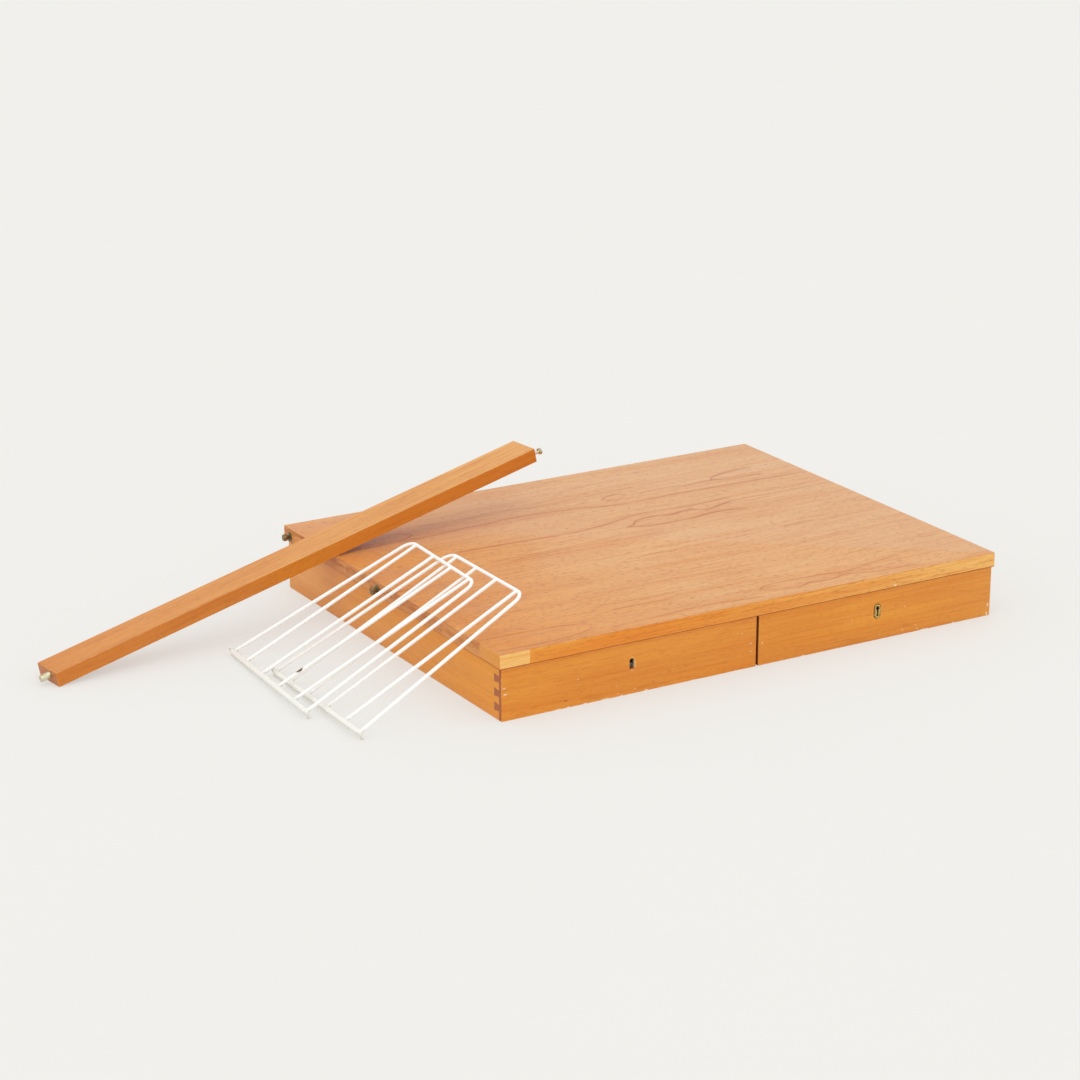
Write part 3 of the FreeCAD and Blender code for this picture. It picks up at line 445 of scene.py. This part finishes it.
FLAMES = [
    ([(395, 328), (410, 348), (420, 352), (432, 364), (440, 367), (460, 371), (475, 369), (490, 365), (510, 369),
      (525, 370), (535, 367), (543, 361), (555, 360), (565, 363), (580, 368), (605, 374)],
     [(395, 360), (410, 348), (425, 342), (440, 338), (460, 336), (490, 336), (510, 337), (540, 342), (560, 343),
      (580, 341), (610, 334), (660, 327)], 1.0, 1.2),
    ([(405, 24), (418, 38), (425, 44), (440, 48), (470, 49), (500, 47), (530, 45), (550, 40), (565, 40), (580, 44),
      (600, 50), (665, 60)],
     [(405, 50), (418, 38), (425, 32), (440, 24), (460, 20), (475, 22), (490, 28), (500, 26), (530, 25), (545, 31),
      (555, 31), (565, 28), (580, 22), (600, 18), (650, 17), (665, 14)], 0.8, 0.7),
    ([(620, 462), (632, 473), (640, 482), (650, 487), (665, 492), (720, 497)],
     [(620, 482), (632, 473), (640, 470), (655, 465), (690, 463), (720, 460)], 0.88, 1.2),
    ([(436, 464), (444, 473), (452, 479), (462, 483), (475, 483), (484, 479), (494, 465)],
     [(436, 482), (444, 473), (452, 466), (462, 462), (475, 466), (484, 476), (494, 486)], 0.74, 1.1),
    ([(20, 497), (100, 489), (115, 485), (127, 478), (133, 472), (143, 455)],
     [(20, 452), (100, 456), (115, 460), (127, 466), (133, 472), (143, 490)], 0.81, 1.1),
    ([(0, 58), (80, 55), (130, 50), (148, 44), (156, 37), (166, 22)],
     [(0, 14), (60, 11), (110, 13), (140, 21), (150, 27), (156, 37), (166, 52)], 0.7, 0.7),
]
FACE_FIGURE = [(line, line, strength, width) for line, strength, width in RUNS] + FLAMES
face_teak = teak("oiled_teak_face_veneer", *lie_of("top_veneer", FLAT), VENEER, figure=FACE_FIGURE,
                 paler_upper_face=(-290, 0, "#E2B480", 0.70, 0.1), seed=1.7, rub=0.4, coarse=2.2, thin=True)
fit(sheet, "desk_top", "teak_veneer", face_teak, "top_veneer")
under_teak = teak("oiled_teak_under_veneer", *lie_of("underside_veneer", FLAT),
                  {**HEARTWOOD, "end": "#A85A1A"}, seed=6.2, rub=0.0, thin=True)
dress(under_teak, "underside_veneer")

# Pegs: turned brass studs that hang the top on its ladders, two in each end, screwed into brass bushes.
# They have gone brown and greenish where hands don't rub them; the bush is a dull ring in the wood.


def turned(name, steps, pose):
    """A turned piece: a disc drawn out step by step along its axis, each step (run, new radius)."""
    bpy.ops.object.select_all(action='DESELECT')
    radius = steps[0][1]
    bpy.ops.mesh.primitive_circle_add(vertices=40, radius=radius * MM, fill_type='NGON')
    piece = bpy.context.object
    piece.name = name
    bpy.ops.object.mode_set(mode='EDIT')
    bpy.ops.mesh.select_all(action='SELECT')
    for run, wanted in steps[1:]:
        bpy.ops.mesh.extrude_region_move(TRANSFORM_OT_translate={"value": (0, 0, run * MM)})
        ratio = wanted / radius
        bpy.ops.transform.resize(value=(ratio, ratio, 1))
        radius = wanted
    bpy.ops.mesh.select_all(action='SELECT')
    bpy.ops.mesh.normals_make_consistent(inside=False)
    bpy.ops.object.mode_set(mode='OBJECT')
    piece.data.transform(pose)
    bpy.ops.object.shade_smooth_by_angle(angle=math.radians(35))
    return piece


def metal(name, clean, tarnish, roughness, spot=3.0, cover=(0.45, 0.62)):
    """Metal: its bare colour, sharp or soft in its shine, under duller patches of tarnish, spot millimetres
    across; cover gives the levels of the pattern at which they start and are whole."""
    material, tree, shader, place = new_finish(name, Metallic=1.0)
    patch = node(tree, "TexNoise", {"Vector": place, "Scale": 1 / (spot * MM), "Detail": 3.0})
    share = node(tree, "MapRange", {"Value": patch, "From Min": cover[0], "From Max": cover[1]})
    layered(tree, shader, clean, [(share, tarnish)])
    dull = node(tree, "MapRange", {"Value": share, "To Min": roughness,
                                   "To Max": min(roughness + 0.25, 0.8)})
    tree.links.new(dull.outputs[0], shader.inputs["Roughness"])
    return material


peg_brass = metal("tarnished_brass_pegs", "#A08A5E", "#7A5F48", 0.34, spot=2.4)
bush_brass = metal("dull_brass_bushes", "#A29A78", "#7C6A4C", 0.5, spot=2.0)
# Shank in the bush, then a short neck, a rounded head and its shallow centre, from the inside out
PEG_STEPS = [(0, 3.0), (22.0, 3.0), (3.2, 3.0), (0.3, 2.6), (1.6, 2.6), (0.4, 3.4), (0, 4.3), (0.5, 4.85),
             (0.6, 5.0), (2.6, 5.0), (0.6, 4.8), (0.4, 4.3), (0.2, 3.4), (0, 1.0), (0.1, 0.4)]
peg_model = turned("peg_model", PEG_STEPS, Matrix.Identity(4))
for hand, sign in (("left", -1), ("right", 1)):
    for row in ("back", "middle"):
        node_name = f"peg_{hand}_{row}"
        low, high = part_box(node_name)
        inner = high.x if sign < 0 else low.x
        middle = middle_of(node_name)
        pose = (Matrix.Translation((inner, middle.y, middle.z))
                @ Matrix.Rotation(math.radians(90 * sign), 4, 'Y'))
        peg = copy_of(peg_model.data, f"turned_{node_name}")
        peg.data.transform(pose)
        fit(peg, "desk_top", "tarnished_brass", peg_brass, node_name)
bpy.data.objects.remove(peg_model)
dress(bush_brass, "peg_bushes")

# Runners: planed beech strips screwed up through their webs, whose lips carry the drawers.
# Strike plates: pressed steel let into the underside over each lock.


def plain_wood(name, pose, pale, deep, vein, fleck=(5.0, 1.2), seed=0.0, gleam=0.25):
    """Close pale wood, planed and bare: soft streaks and small darker flecks along its grain."""
    material, tree, shader, place = new_finish(name, Roughness=0.6, Specular_IOR_Level=gleam)
    grain = node(tree, "Mapping", {"Vector": place, "Rotation": pose, "Scale": (MM, MM, MM)},
                 vector_type='TEXTURE')
    shares = []
    for length, width, low, high in ((160, 5, 0.35, 0.7), (*fleck, 0.6, 0.72)):
        scaled = node(tree, "VectorMath", {0: grain, 1: (1 / length, 1 / width, 1 / width)},
                      operation='MULTIPLY')
        pattern = node(tree, "TexNoise", {"Vector": scaled, "W": seed, "Scale": 1.0},
                       noise_dimensions='4D')
        shares.append(node(tree, "MapRange", {"Value": pattern, "From Min": low, "From Max": high}))
    layered(tree, shader, pale, zip(shares, (deep, vein)))
    return material


# Beech has small dark flecks and birch ply long pale streaks; screws are bright, pressed steel is brown.
runner_beech = plain_wood("planed_beech_runners", UPRIGHT_DEEP, "#DDBB8C", "#CFA673", "#B98A58")
back_beech = plain_wood("planed_beech_backs", UPRIGHT, "#DFBF92", "#D2AB7A", "#BC8E5E", seed=2.0)
birch_ply = plain_wood("birch_plywood_bottoms", FLAT, "#E2C79C", "#D8B786", "#C9A26F", fleck=(30, 2),
                       seed=5.0)
screw_steel = metal("bright_steel_screws", "#B9B6AE", "#8D877C", 0.32, spot=1.5)
lock_steel = metal("stamped_lock_steel", "#7C7466", "#4C443A", 0.45, spot=4.0)
for drawer in ("left", "right"):
    for side in ("left", "right"):
        dress(runner_beech, f"{drawer}_drawer_{side}_runner")
    dress(lock_steel, f"{drawer}_strike_plate")
dress(screw_steel, "runner_screws", "strike_screws")

# Drawers: teak fronts half-blind dovetailed to teak sides, with a beech back and a plywood bottom slid
# into grooves and screwed up into the back. The pins' end grain shows brown on the outer sides.
FRONT = {"pale": "#E39436", "deep": "#DE882C", "ash": "#DD8C36", "streak": "#D87A26", "line": "#B2581A",
         "pore": "#BE6622", "end": "#9E4E28", "rub": "#F0BE78"}
SIDE = {"pale": "#EB9B2C", "deep": "#E49024", "ash": "#E49430", "streak": "#DE8622", "line": "#C07220",
        "pore": "#C47824", "end": "#A85A2E", "rub": "#EDBE84"}
FRONT_TINT = {"left": {}, "right": {"pale": "#E69C3A", "deep": "#E19030"}}
# Small dents and chips, in millimetres from the front's middle; the left's last three are round its keyhole
FRONT_NICKS = {
    "left": [(-188.5, 9.4, 1.6, 0.7), (-187, 1, 2.6, 1.1), (-98.5, -24.8, 2.4, 0.8, "#8A3C12"),
             (-80.6, 0.3, 1.0, 0.6), (-22, -21, 0.9, 0.6), (-20.5, -31, 1.0, 0.7), (5, -29, 1.0, 0.6),
             (-110, -34.6, 5, 0.9),
             (-95, -34, 2, 0.9), (-70, -34, 3, 0.7), (-40, -34.2, 7, 0.8), (-15, -34, 2, 0.9), (22, -34, 3, 0.8),
             (95, -35, 8, 0.8), (160, -35, 9, 0.9), (170, 15, 0.9, 0.7), (184, -1, 1.0, 0.8),
             (184.5, -12, 0.9, 0.8), (0.6, -2.5, 2.0, 0.8, "#EBBE8E"), (4.6, 5.7, 0.8, 6.5, "#F0C88E"),
             (0.5, 14.5, 2.6, 1.0, "#EBB45C")],
    "right": [(-187, -4, 0.7, 1.4), (188.5, -18.6, 1.0, 2.8), (187.5, -32, 1.4, 3.2), (46, 4.5, 0.9, 0.6),
              (44, -28, 1.0, 0.7), (65.6, -25, 0.9, 0.6), (69, -31.5, 1.3, 0.7), (5.6, -28, 0.8, 0.6),
              (-41.5, 0.7, 0.9, 0.5), (80, -34.2, 7, 0.8), (-120, -34, 3, 0.8), (130, -34, 2, 0.9)],
}
# Pale bare teak for the keyhole's inner wall, painted paler still as painted light reaching into the hole
bare_lit_teak = plain_wood("bare_teak_keyhole_wall_painted_light", UPRIGHT, "#C9B491", "#B8A280", "#9E8A6A")
# Darkened teak for the fronts' hidden edges: partly dust, partly painted shade of the gaps between boards
dust_and_gap_shade_teak = plain_wood("dust_and_gap_shade_teak_edges", UPRIGHT, "#9C5722", "#8E4B1A", "#763C12", gleam=0.0)
KEYHOLE_REACH = Vector((5, 60, 9)) * MM
DUST_AND_SHADE, RAW_AND_LIT = 1, 2
AT_EDGE = 0.5 * MM
for number, drawer in enumerate(("left", "right")):
    body = f"{drawer}_drawer"
    front_node = f"{drawer}_drawer_front"
    front = eased(f"{front_node}_board", front_node, 0.7, sharp=("+y", "+z"))
    front_teak = teak(f"oiled_teak_{drawer}_front", *lie_of(front_node, UPRIGHT), {**FRONT, **FRONT_TINT[drawer]},
                      nicks=FRONT_NICKS[drawer], seed=11.0 + 2.4 * number, show=0.85)
    fit(front, body, "teak_front", front_teak, front_node)
    # Its top edge and the end that faces the other drawer are darkened, partly as dust and partly as painted
    # shade, which draws the lines of the gaps there; the keyhole's wall is bare wood, painted paler as painted
    # light
    front.data.materials.append(dust_and_gap_shade_teak)
    front.data.materials.append(bare_lit_teak)
    low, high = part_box(front_node)
    inner_end = high.x if drawer == "left" else low.x
    keyhole = middle_of(f"{drawer}_lock_pin")
    for face in front.data.polygons:
        on_top = face.normal.z > 0.9 and face.center.z > high.z - AT_EDGE
        on_end = abs(face.normal.x) > 0.9 and abs(face.center.x - inner_end) < AT_EDGE
        if on_top or on_end:
            face.material_index = DUST_AND_SHADE
        elif within(face.center, keyhole, KEYHOLE_REACH) and abs(face.normal.y) < 0.5:
            face.material_index = RAW_AND_LIT
    for side in ("left", "right"):
        name = f"{drawer}_drawer_{side}_side"
        board = eased(f"{name}_board", name, 0.6, sharp=("-y",))
        side_teak = teak(f"oiled_teak_{drawer}_drawer_{side}_side", *lie_of(name, UPRIGHT_DEEP), SIDE,
                         show=0.7, seed=15.0 + 2 * number + (side == "right"))
        fit(board, body, "teak_side", side_teak, name)
    dress(back_beech, f"{drawer}_drawer_back")
    dress(birch_ply, f"{drawer}_drawer_bottom")
    dress(screw_steel, f"{drawer}_drawer_bottom_screws", f"{drawer}_lock_screws")

# Locks: pressed steel cases let into the fronts' backs, with a drill pin for the key and a brass bolt.
# The right keyhole keeps its cast brass liner, sunk in the wood and loose in its seat, its rim rubbed round.
# Sawn brass is even and soft in its shine; the liner is rubbed bright between patches of old tarnish.
bolt_brass = metal("sawn_brass_bolts", "#C9A961", "#9A7A44", 0.35, spot=5.0)
liner_brass = metal("worn_brass_liner", "#D9BE74", "#A98648", 0.3, spot=2.2)
for drawer in ("left", "right"):
    dress(lock_steel, f"{drawer}_lock_case", f"{drawer}_lock_pin")
    dress(bolt_brass, f"{drawer}_lock_bolt")
HOLE_REACH = Vector((3.2, 9, 8.3)) * MM
liner = eased("worn_keyhole_liner", "right_keyhole_liner", 0.5, rim="-y", hole=HOLE_REACH)
fit(liner, "right_drawer", "brass", liner_brass, "right_keyhole_liner")
# The wall of its hole is painted dark brown, as painted shade inside the bore
liner_bore_shade, tree, shader, place = new_finish("painted_shade_in_liner_bore", Roughness=0.6)
bore_shade_mottle = node(tree, "TexNoise", {"Vector": place, "Scale": 1 / (2 * MM), "Detail": 2.0})
layered(tree, shader, "#5E3822", [(bore_shade_mottle, "#40220F")])
liner.data.materials.append(liner_bore_shade)
liner_middle = middle_of("right_keyhole_liner")
for face in liner.data.polygons:
    if within(face.center, liner_middle, HOLE_REACH) and abs(face.normal.y) < 0.5:
        face.material_index = 1

# Cross rail: a planed teak bar, one end on the floor, leaning on the top's edge; its upper face is drawn paler,
# more towards its right end.
# A plain nickelled pin stands out of its left end, and one with a collar and a round head out of its right.
desk_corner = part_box("corner_block")[0]
desk_corner.z = 0.0
RAIL_SIZE = (784, 50, 19.9)
RAIL_CORNER = (-424.9, 395.25, 0)
RAIL_TURN = (0.0, math.radians(-12.009), math.radians(6.1))
rail_frame = (Matrix.Translation(desk_corner + Vector(RAIL_CORNER) * MM)
              @ Euler(RAIL_TURN).to_matrix().to_4x4())
rail_middle = rail_frame @ (Vector(RAIL_SIZE) / 2 * MM)
RAIL = {"pale": "#D88632", "deep": "#CE782A", "ash": "#D08034", "streak": "#C86C22", "line": "#A65A1E",
        "pore": "#A2541C", "end": "#B86C2C", "rub": "#E6AC60"}
rail_teak = teak("oiled_teak_rail", (tuple(rail_middle), RAIL_TURN), RAIL_SIZE, RAIL,
                 paler_upper_face=(-350, 600, "#EAB064", 0.95, 0), seed=21.0, show=0.75)
dress(rail_teak, "cross_rail")
# Nickel plate: bright and yellowish white, with warmer worn patches.
nickel = metal("worn_nickel_pins", "#DED8BE", "#BEAE80", 0.25, spot=6.0, cover=(0.5, 0.72))
# Where each pin leaves its end, and its turned shape from the bottom of its bore outwards: a shank, then
# the part that shows
SHANK = [(0, 2.9), (25, 2.9)]
RAIL_PINS = {
    "left": ((0, 18.3, 12.8), [*SHANK, (0, 4.6), (0.1, 4.7), (14.1, 4.7), (0.3, 4.55), (0.4, 4.1), (0.1, 3.3),
                               (0, 0.5)]),
    "right": ((RAIL_SIZE[0], 6.3, 10.0), [*SHANK, (0, 2.2), (9.6, 2.2), (0, 4.3), (0.2, 4.55), (0.9, 4.55),
                                          (0.2, 4.3), (0, 2.4), (0.6, 2.4), (0, 4.5), (0.3, 4.8), (0.3, 4.85),
                                          (0.9, 4.8), (0.5, 4.5), (0.4, 3.7), (0.2, 2.3)]),
}
for end, sign in (("left", -1), ("right", 1)):
    mouth, steps = RAIL_PINS[end]
    pose = (rail_frame @ Matrix.Translation(Vector(mouth) * MM)
            @ Matrix.Rotation(math.radians(90 * sign), 4, 'Y')
            @ Matrix.Translation((0, 0, -SHANK[1][0] * MM)))
    pin = turned(f"turned_rail_{end}_pin", steps, pose)
    fit(pin, "rail", "nickel", nickel, f"rail_{end}_pin")

# Wire racks: a bent steel frame, four wires and a thicker foot rod, welded and dipped in white enamel.
# The coat runs round at the welds, has gone dull at the feet and is chipped where the racks rub.
# Radii of wire and rod, then the frame's height and half widths, its end hooks and the radii of its bends, in
# millimetres; the coat's voxel is fine enough for three across a wire's radius
WIRE, ROD = 2.5, 4.0
RACK_HEIGHT, FOOT_HALF, TOP_HALF = 278, 127, 100
HOOK, HOOK_BEND, CORNER_BEND = 9.9, 4, 17
ROD_HALF = 125.5
WIRE_COUNT, WIRE_PITCH = 4, 55
COAT_VOXEL = 0.8
RACK_ROLL = -1.5
TOP_FACE = 90.5


def rack_model(name):
    """One rack in its own frame: x up its slope, y along its foot, z square to its plane."""
    corners = [Vector(p) for p in ((0, FOOT_HALF, HOOK), (0, FOOT_HALF, 0), (RACK_HEIGHT, TOP_HALF, 0),
                                   (RACK_HEIGHT, -TOP_HALF, 0), (0, -FOOT_HALF, 0), (0, -FOOT_HALF, -HOOK))]
    bpy.ops.object.select_all(action='DESELECT')
    bpy.ops.mesh.primitive_circle_add(vertices=20, radius=WIRE * MM, fill_type='NGON',
                                      location=corners[0] * MM)
    rack = bpy.context.object
    rack.name = name
    bpy.ops.object.transform_apply(location=True)
    bpy.ops.object.mode_set(mode='EDIT')
    bpy.ops.mesh.select_all(action='SELECT')
    start = corners[0]
    bends = (HOOK_BEND, CORNER_BEND, CORNER_BEND, HOOK_BEND)
    for before, corner, after, bend in zip(corners, corners[1:], corners[2:], bends):
        way_in, way_out = (corner - before).normalized(), (after - corner).normalized()
        angle = way_in.angle(way_out)
        tangent = bend * math.tan(angle / 2)
        first = corner - way_in * tangent
        bpy.ops.mesh.extrude_region_move(TRANSFORM_OT_translate={"value": (first - start) * MM})
        inward = (way_out - way_in * way_in.dot(way_out)).normalized()
        bpy.ops.mesh.spin(steps=8, angle=-angle, center=(first + inward * bend) * MM,
                          axis=way_in.cross(way_out).normalized())
        start = corner + way_out * tangent
    bpy.ops.mesh.extrude_region_move(TRANSFORM_OT_translate={"value": (corners[-1] - start) * MM})
    bpy.ops.mesh.primitive_cylinder_add(vertices=28, radius=ROD * MM, depth=2 * ROD_HALF * MM,
                                        location=(0, 0, 0), rotation=(math.radians(90), 0, 0))
    for number in range(WIRE_COUNT):
        y = (number - (WIRE_COUNT - 1) / 2) * WIRE_PITCH
        bpy.ops.mesh.primitive_cylinder_add(vertices=20, radius=WIRE * MM, depth=RACK_HEIGHT * MM,
                                            location=(RACK_HEIGHT / 2 * MM, y * MM, 0),
                                            rotation=(0, math.radians(90), 0))
    bpy.ops.mesh.select_all(action='SELECT')
    bpy.ops.mesh.normals_make_consistent(inside=False)
    bpy.ops.object.mode_set(mode='OBJECT')
    coat = rack.modifiers.new("coat", 'REMESH')
    coat.mode, coat.voxel_size = 'VOXEL', COAT_VOXEL * MM
    bpy.ops.object.modifier_apply(modifier="coat")
    runs = rack.modifiers.new("runs", 'SMOOTH')
    runs.factor, runs.iterations = 0.5, 4
    bpy.ops.object.modifier_apply(modifier="runs")
    bpy.ops.object.shade_smooth()
    return rack


def enamel(name, pose, chips):
    """White stove enamel, glossy and a little wavy, dull at the feet with painted shade under them, chipped to
    brown steel at places (x, y, size) of the rack's own frame in millimetres."""
    material, tree, shader, place = new_finish(name, Specular_IOR_Level=0.45, Roughness=0.3)
    own = node(tree, "Mapping", {"Vector": place, "Location": tuple(pose.to_translation()),
                                 "Rotation": tuple(pose.to_euler()), "Scale": (MM, MM, MM)},
               vector_type='TEXTURE')
    up = node(tree, "SeparateXYZ", {"Vector": own}).outputs["X"]
    grime = node(tree, "TexNoise", {"Vector": own, "Scale": 1 / 9, "Detail": 2.0})
    fleck = node(tree, "TexNoise", {"Vector": own, "Scale": 1 / 2.0, "Detail": 2.0})
    dulled = node(tree, "Math", {0: grime, 1: 6.0, 2: up}, operation='MULTIPLY_ADD')
    dulled = node(tree, "MapRange", {"Value": dulled, "From Min": 12.0, "From Max": 7.0, "To Max": 0.5})
    facing = node(tree, "SeparateXYZ", {"Vector": node(tree, "TexCoord").outputs["Normal"]}).outputs["Z"]
    # Painted shade: at the feet, faces that look downwards are drawn greyer, as the shade under them
    painted_underside_shade = node(tree, "MapRange", {"Value": facing, "From Min": 0.3, "From Max": -0.4, "To Max": 1.5})
    painted_underside_shade = node(tree, "Math", {0: painted_underside_shade, 1: dulled}, operation='MULTIPLY')
    layers = [(node(tree, "MapRange", {"Value": grime, "From Min": 0.5, "From Max": 0.75, "To Max": 0.35}),
               "#F6F4EC"), (dulled, "#E9E8DE"), (painted_underside_shade, "#C8C6B0")]
    for x, y, size in chips:
        # drawn out to twice its width along the wire
        apart = node(tree, "VectorMath", {0: own, 1: (x, y, 2.0)}, operation='SUBTRACT')
        apart = node(tree, "VectorMath", {0: apart, 1: (0.5, 1.0, 1.0)}, operation='MULTIPLY')
        apart = node(tree, "VectorMath", {0: apart}, operation='LENGTH')
        torn = node(tree, "Math", {0: fleck, 1: 3.0, 2: apart}, operation='MULTIPLY_ADD')
        layers.append((node(tree, "MapRange", {"Value": torn, "From Min": size + 1.9, "From Max": size + 1.3}),
                       "#5A3A26"))
    layered(tree, shader, "#FBFBF8", layers)
    wave = node(tree, "TexNoise", {"Vector": own, "Scale": 1 / 10, "Detail": 1.0})
    wave = node(tree, "Bump", {"Height": wave, "Strength": 0.2, "Distance": 0.2 * MM})
    tree.links.new(wave.outputs[0], shader.inputs["Normal"])
    return material


# Foot from the desk's front left corner, turn about the upright, height of its lean above the top's face
RACKS = {
    "lower": {"foot": (-172.5, 166.2, 7.3), "turn": -1.38, "rest": 7.75, "chips": [(18, 27.5, 1.2)]},
    "upper": {"foot": (-192.4, 261.3, 7.3), "turn": -3.67, "rest": 12.3, "chips": [(37, -27.5, 2.5)]},
}
white_rack = rack_model("rack_model")
for rack, size in RACKS.items():
    tilt = -math.atan2(TOP_FACE + size["rest"] - size["foot"][2], -size["foot"][0])
    turn = Euler((math.radians(RACK_ROLL), tilt, math.radians(size["turn"])))
    pose = Matrix.Translation(desk_corner + Vector(size["foot"]) * MM) @ turn.to_matrix().to_4x4()
    piece = copy_of(white_rack.data, f"enamelled_{rack}_rack")
    piece.data.transform(pose)
    coat = enamel(f"white_enamel_{rack}_rack", pose, size["chips"])
    fit(piece, f"{rack}_rack", "white_enamel", coat,
        *(f"{rack}_rack_{part}" for part in ("frame", "wires", "foot_rod")))
bpy.data.objects.remove(white_rack)

# Floor, light and camera: a pale painted studio floor that runs out of sight, a soft even sky of light with
# a broad lamp from behind the camera, and a long lens at the photograph's height and angle.
PAPER = "#EFEEEA"
FLOOR_SIDE, PLAIN_SHARE = 60.0, 0.58


def seen_plainly(tree):
    """1 for what the camera sees straight, in a reflection or through glass, 0 for light on the object."""
    rays = node(tree, "LightPath").outputs
    seen = node(tree, "Math", {0: rays["Is Camera Ray"], 1: rays["Is Glossy Ray"]}, operation='MAXIMUM')
    return node(tree, "Math", {0: seen, 1: rays["Is Transmission Ray"]}, operation='MAXIMUM')


bpy.ops.object.select_all(action='DESELECT')
bpy.ops.mesh.primitive_plane_add(size=FLOOR_SIDE)
floor = bpy.context.object
floor.name = "studio_floor"
# Matt paint with faint clouds, half a metre across
paint, tree, shader, place = new_finish("pale_floor_paint", Roughness=0.7, Specular_IOR_Level=0.1)
cloud = node(tree, "TexNoise", {"Vector": place, "Scale": 1 / 0.6, "Detail": 3.0})
cloud = node(tree, "MapRange", {"Value": cloud, "From Min": 0.4, "From Max": 0.8, "To Max": 0.4})
floor_colour = layered(tree, shader, PAPER, [(cloud, "#EDECE8")])
# Seen straight or in a reflection, most of it shows its plain colour, which lightens the shadows on it
seen = node(tree, "Math", {0: seen_plainly(tree), 1: PLAIN_SHARE}, operation='MULTIPLY')
plain = node(tree, "Emission", {"Color": floor_colour})
mixed = node(tree, "MixShader", {0: seen, 1: shader, 2: plain})
tree.links.new(mixed.outputs[0], tree.nodes["Material Output"].inputs["Surface"])
floor.data.materials.append(paint)

SKY, LAMP = 0.88, 0.7
LAMP_FROM, LAMP_SPREAD = (-0.36, -0.46, 0.81), math.radians(90)
world = bpy.data.worlds.new("studio")
bpy.context.scene.world = world
world.use_nodes = True
tree = world.node_tree
backdrop = tree.nodes["Background"]
sky = node(tree, "Mix", {"Factor": seen_plainly(tree), "A": (SKY, SKY, SKY, 1), "B": linear(PAPER)},
           data_type='RGBA')
tree.links.new(sky.outputs[2], backdrop.inputs["Color"])
sun = bpy.data.lights.new("broad_lamp", 'SUN')
sun.energy, sun.angle = LAMP, LAMP_SPREAD
lamp = bpy.data.objects.new("broad_lamp", sun)
lamp.rotation_euler = Vector(LAMP_FROM).to_track_quat('Z', 'Y').to_euler()
bpy.context.scene.collection.objects.link(lamp)

lens = bpy.data.cameras.new("long_lens")
# The photograph was measured at the middles of its pixels, so the frame is shifted by half a pixel; the
# camera's place is in millimetres from the desk's front left corner
FRAME_PIXELS, CAMERA_PLACE = 1080, (-1777.976, -3064.879, 1424.405)
lens.sensor_width, lens.lens = 36.0, 101.885
lens.clip_end = 200.0
lens.shift_x, lens.shift_y = -0.5 / FRAME_PIXELS, 0.5 / FRAME_PIXELS
camera = bpy.data.objects.new("camera", lens)
YAW, PITCH, ROLL = (math.radians(a) for a in (30.926, 18.479, 0.112))
aim = (Matrix.Rotation(-YAW, 4, 'Z') @ Matrix.Rotation(math.radians(90) - PITCH, 4, 'X')
       @ Matrix.Rotation(ROLL, 4, 'Z'))
camera.matrix_world = Matrix.Translation(desk_corner + Vector(CAMERA_PLACE) * MM) @ aim
bpy.context.scene.collection.objects.link(camera)
bpy.context.scene.camera = camera
bpy.context.scene.view_settings.view_transform = 'Standard'
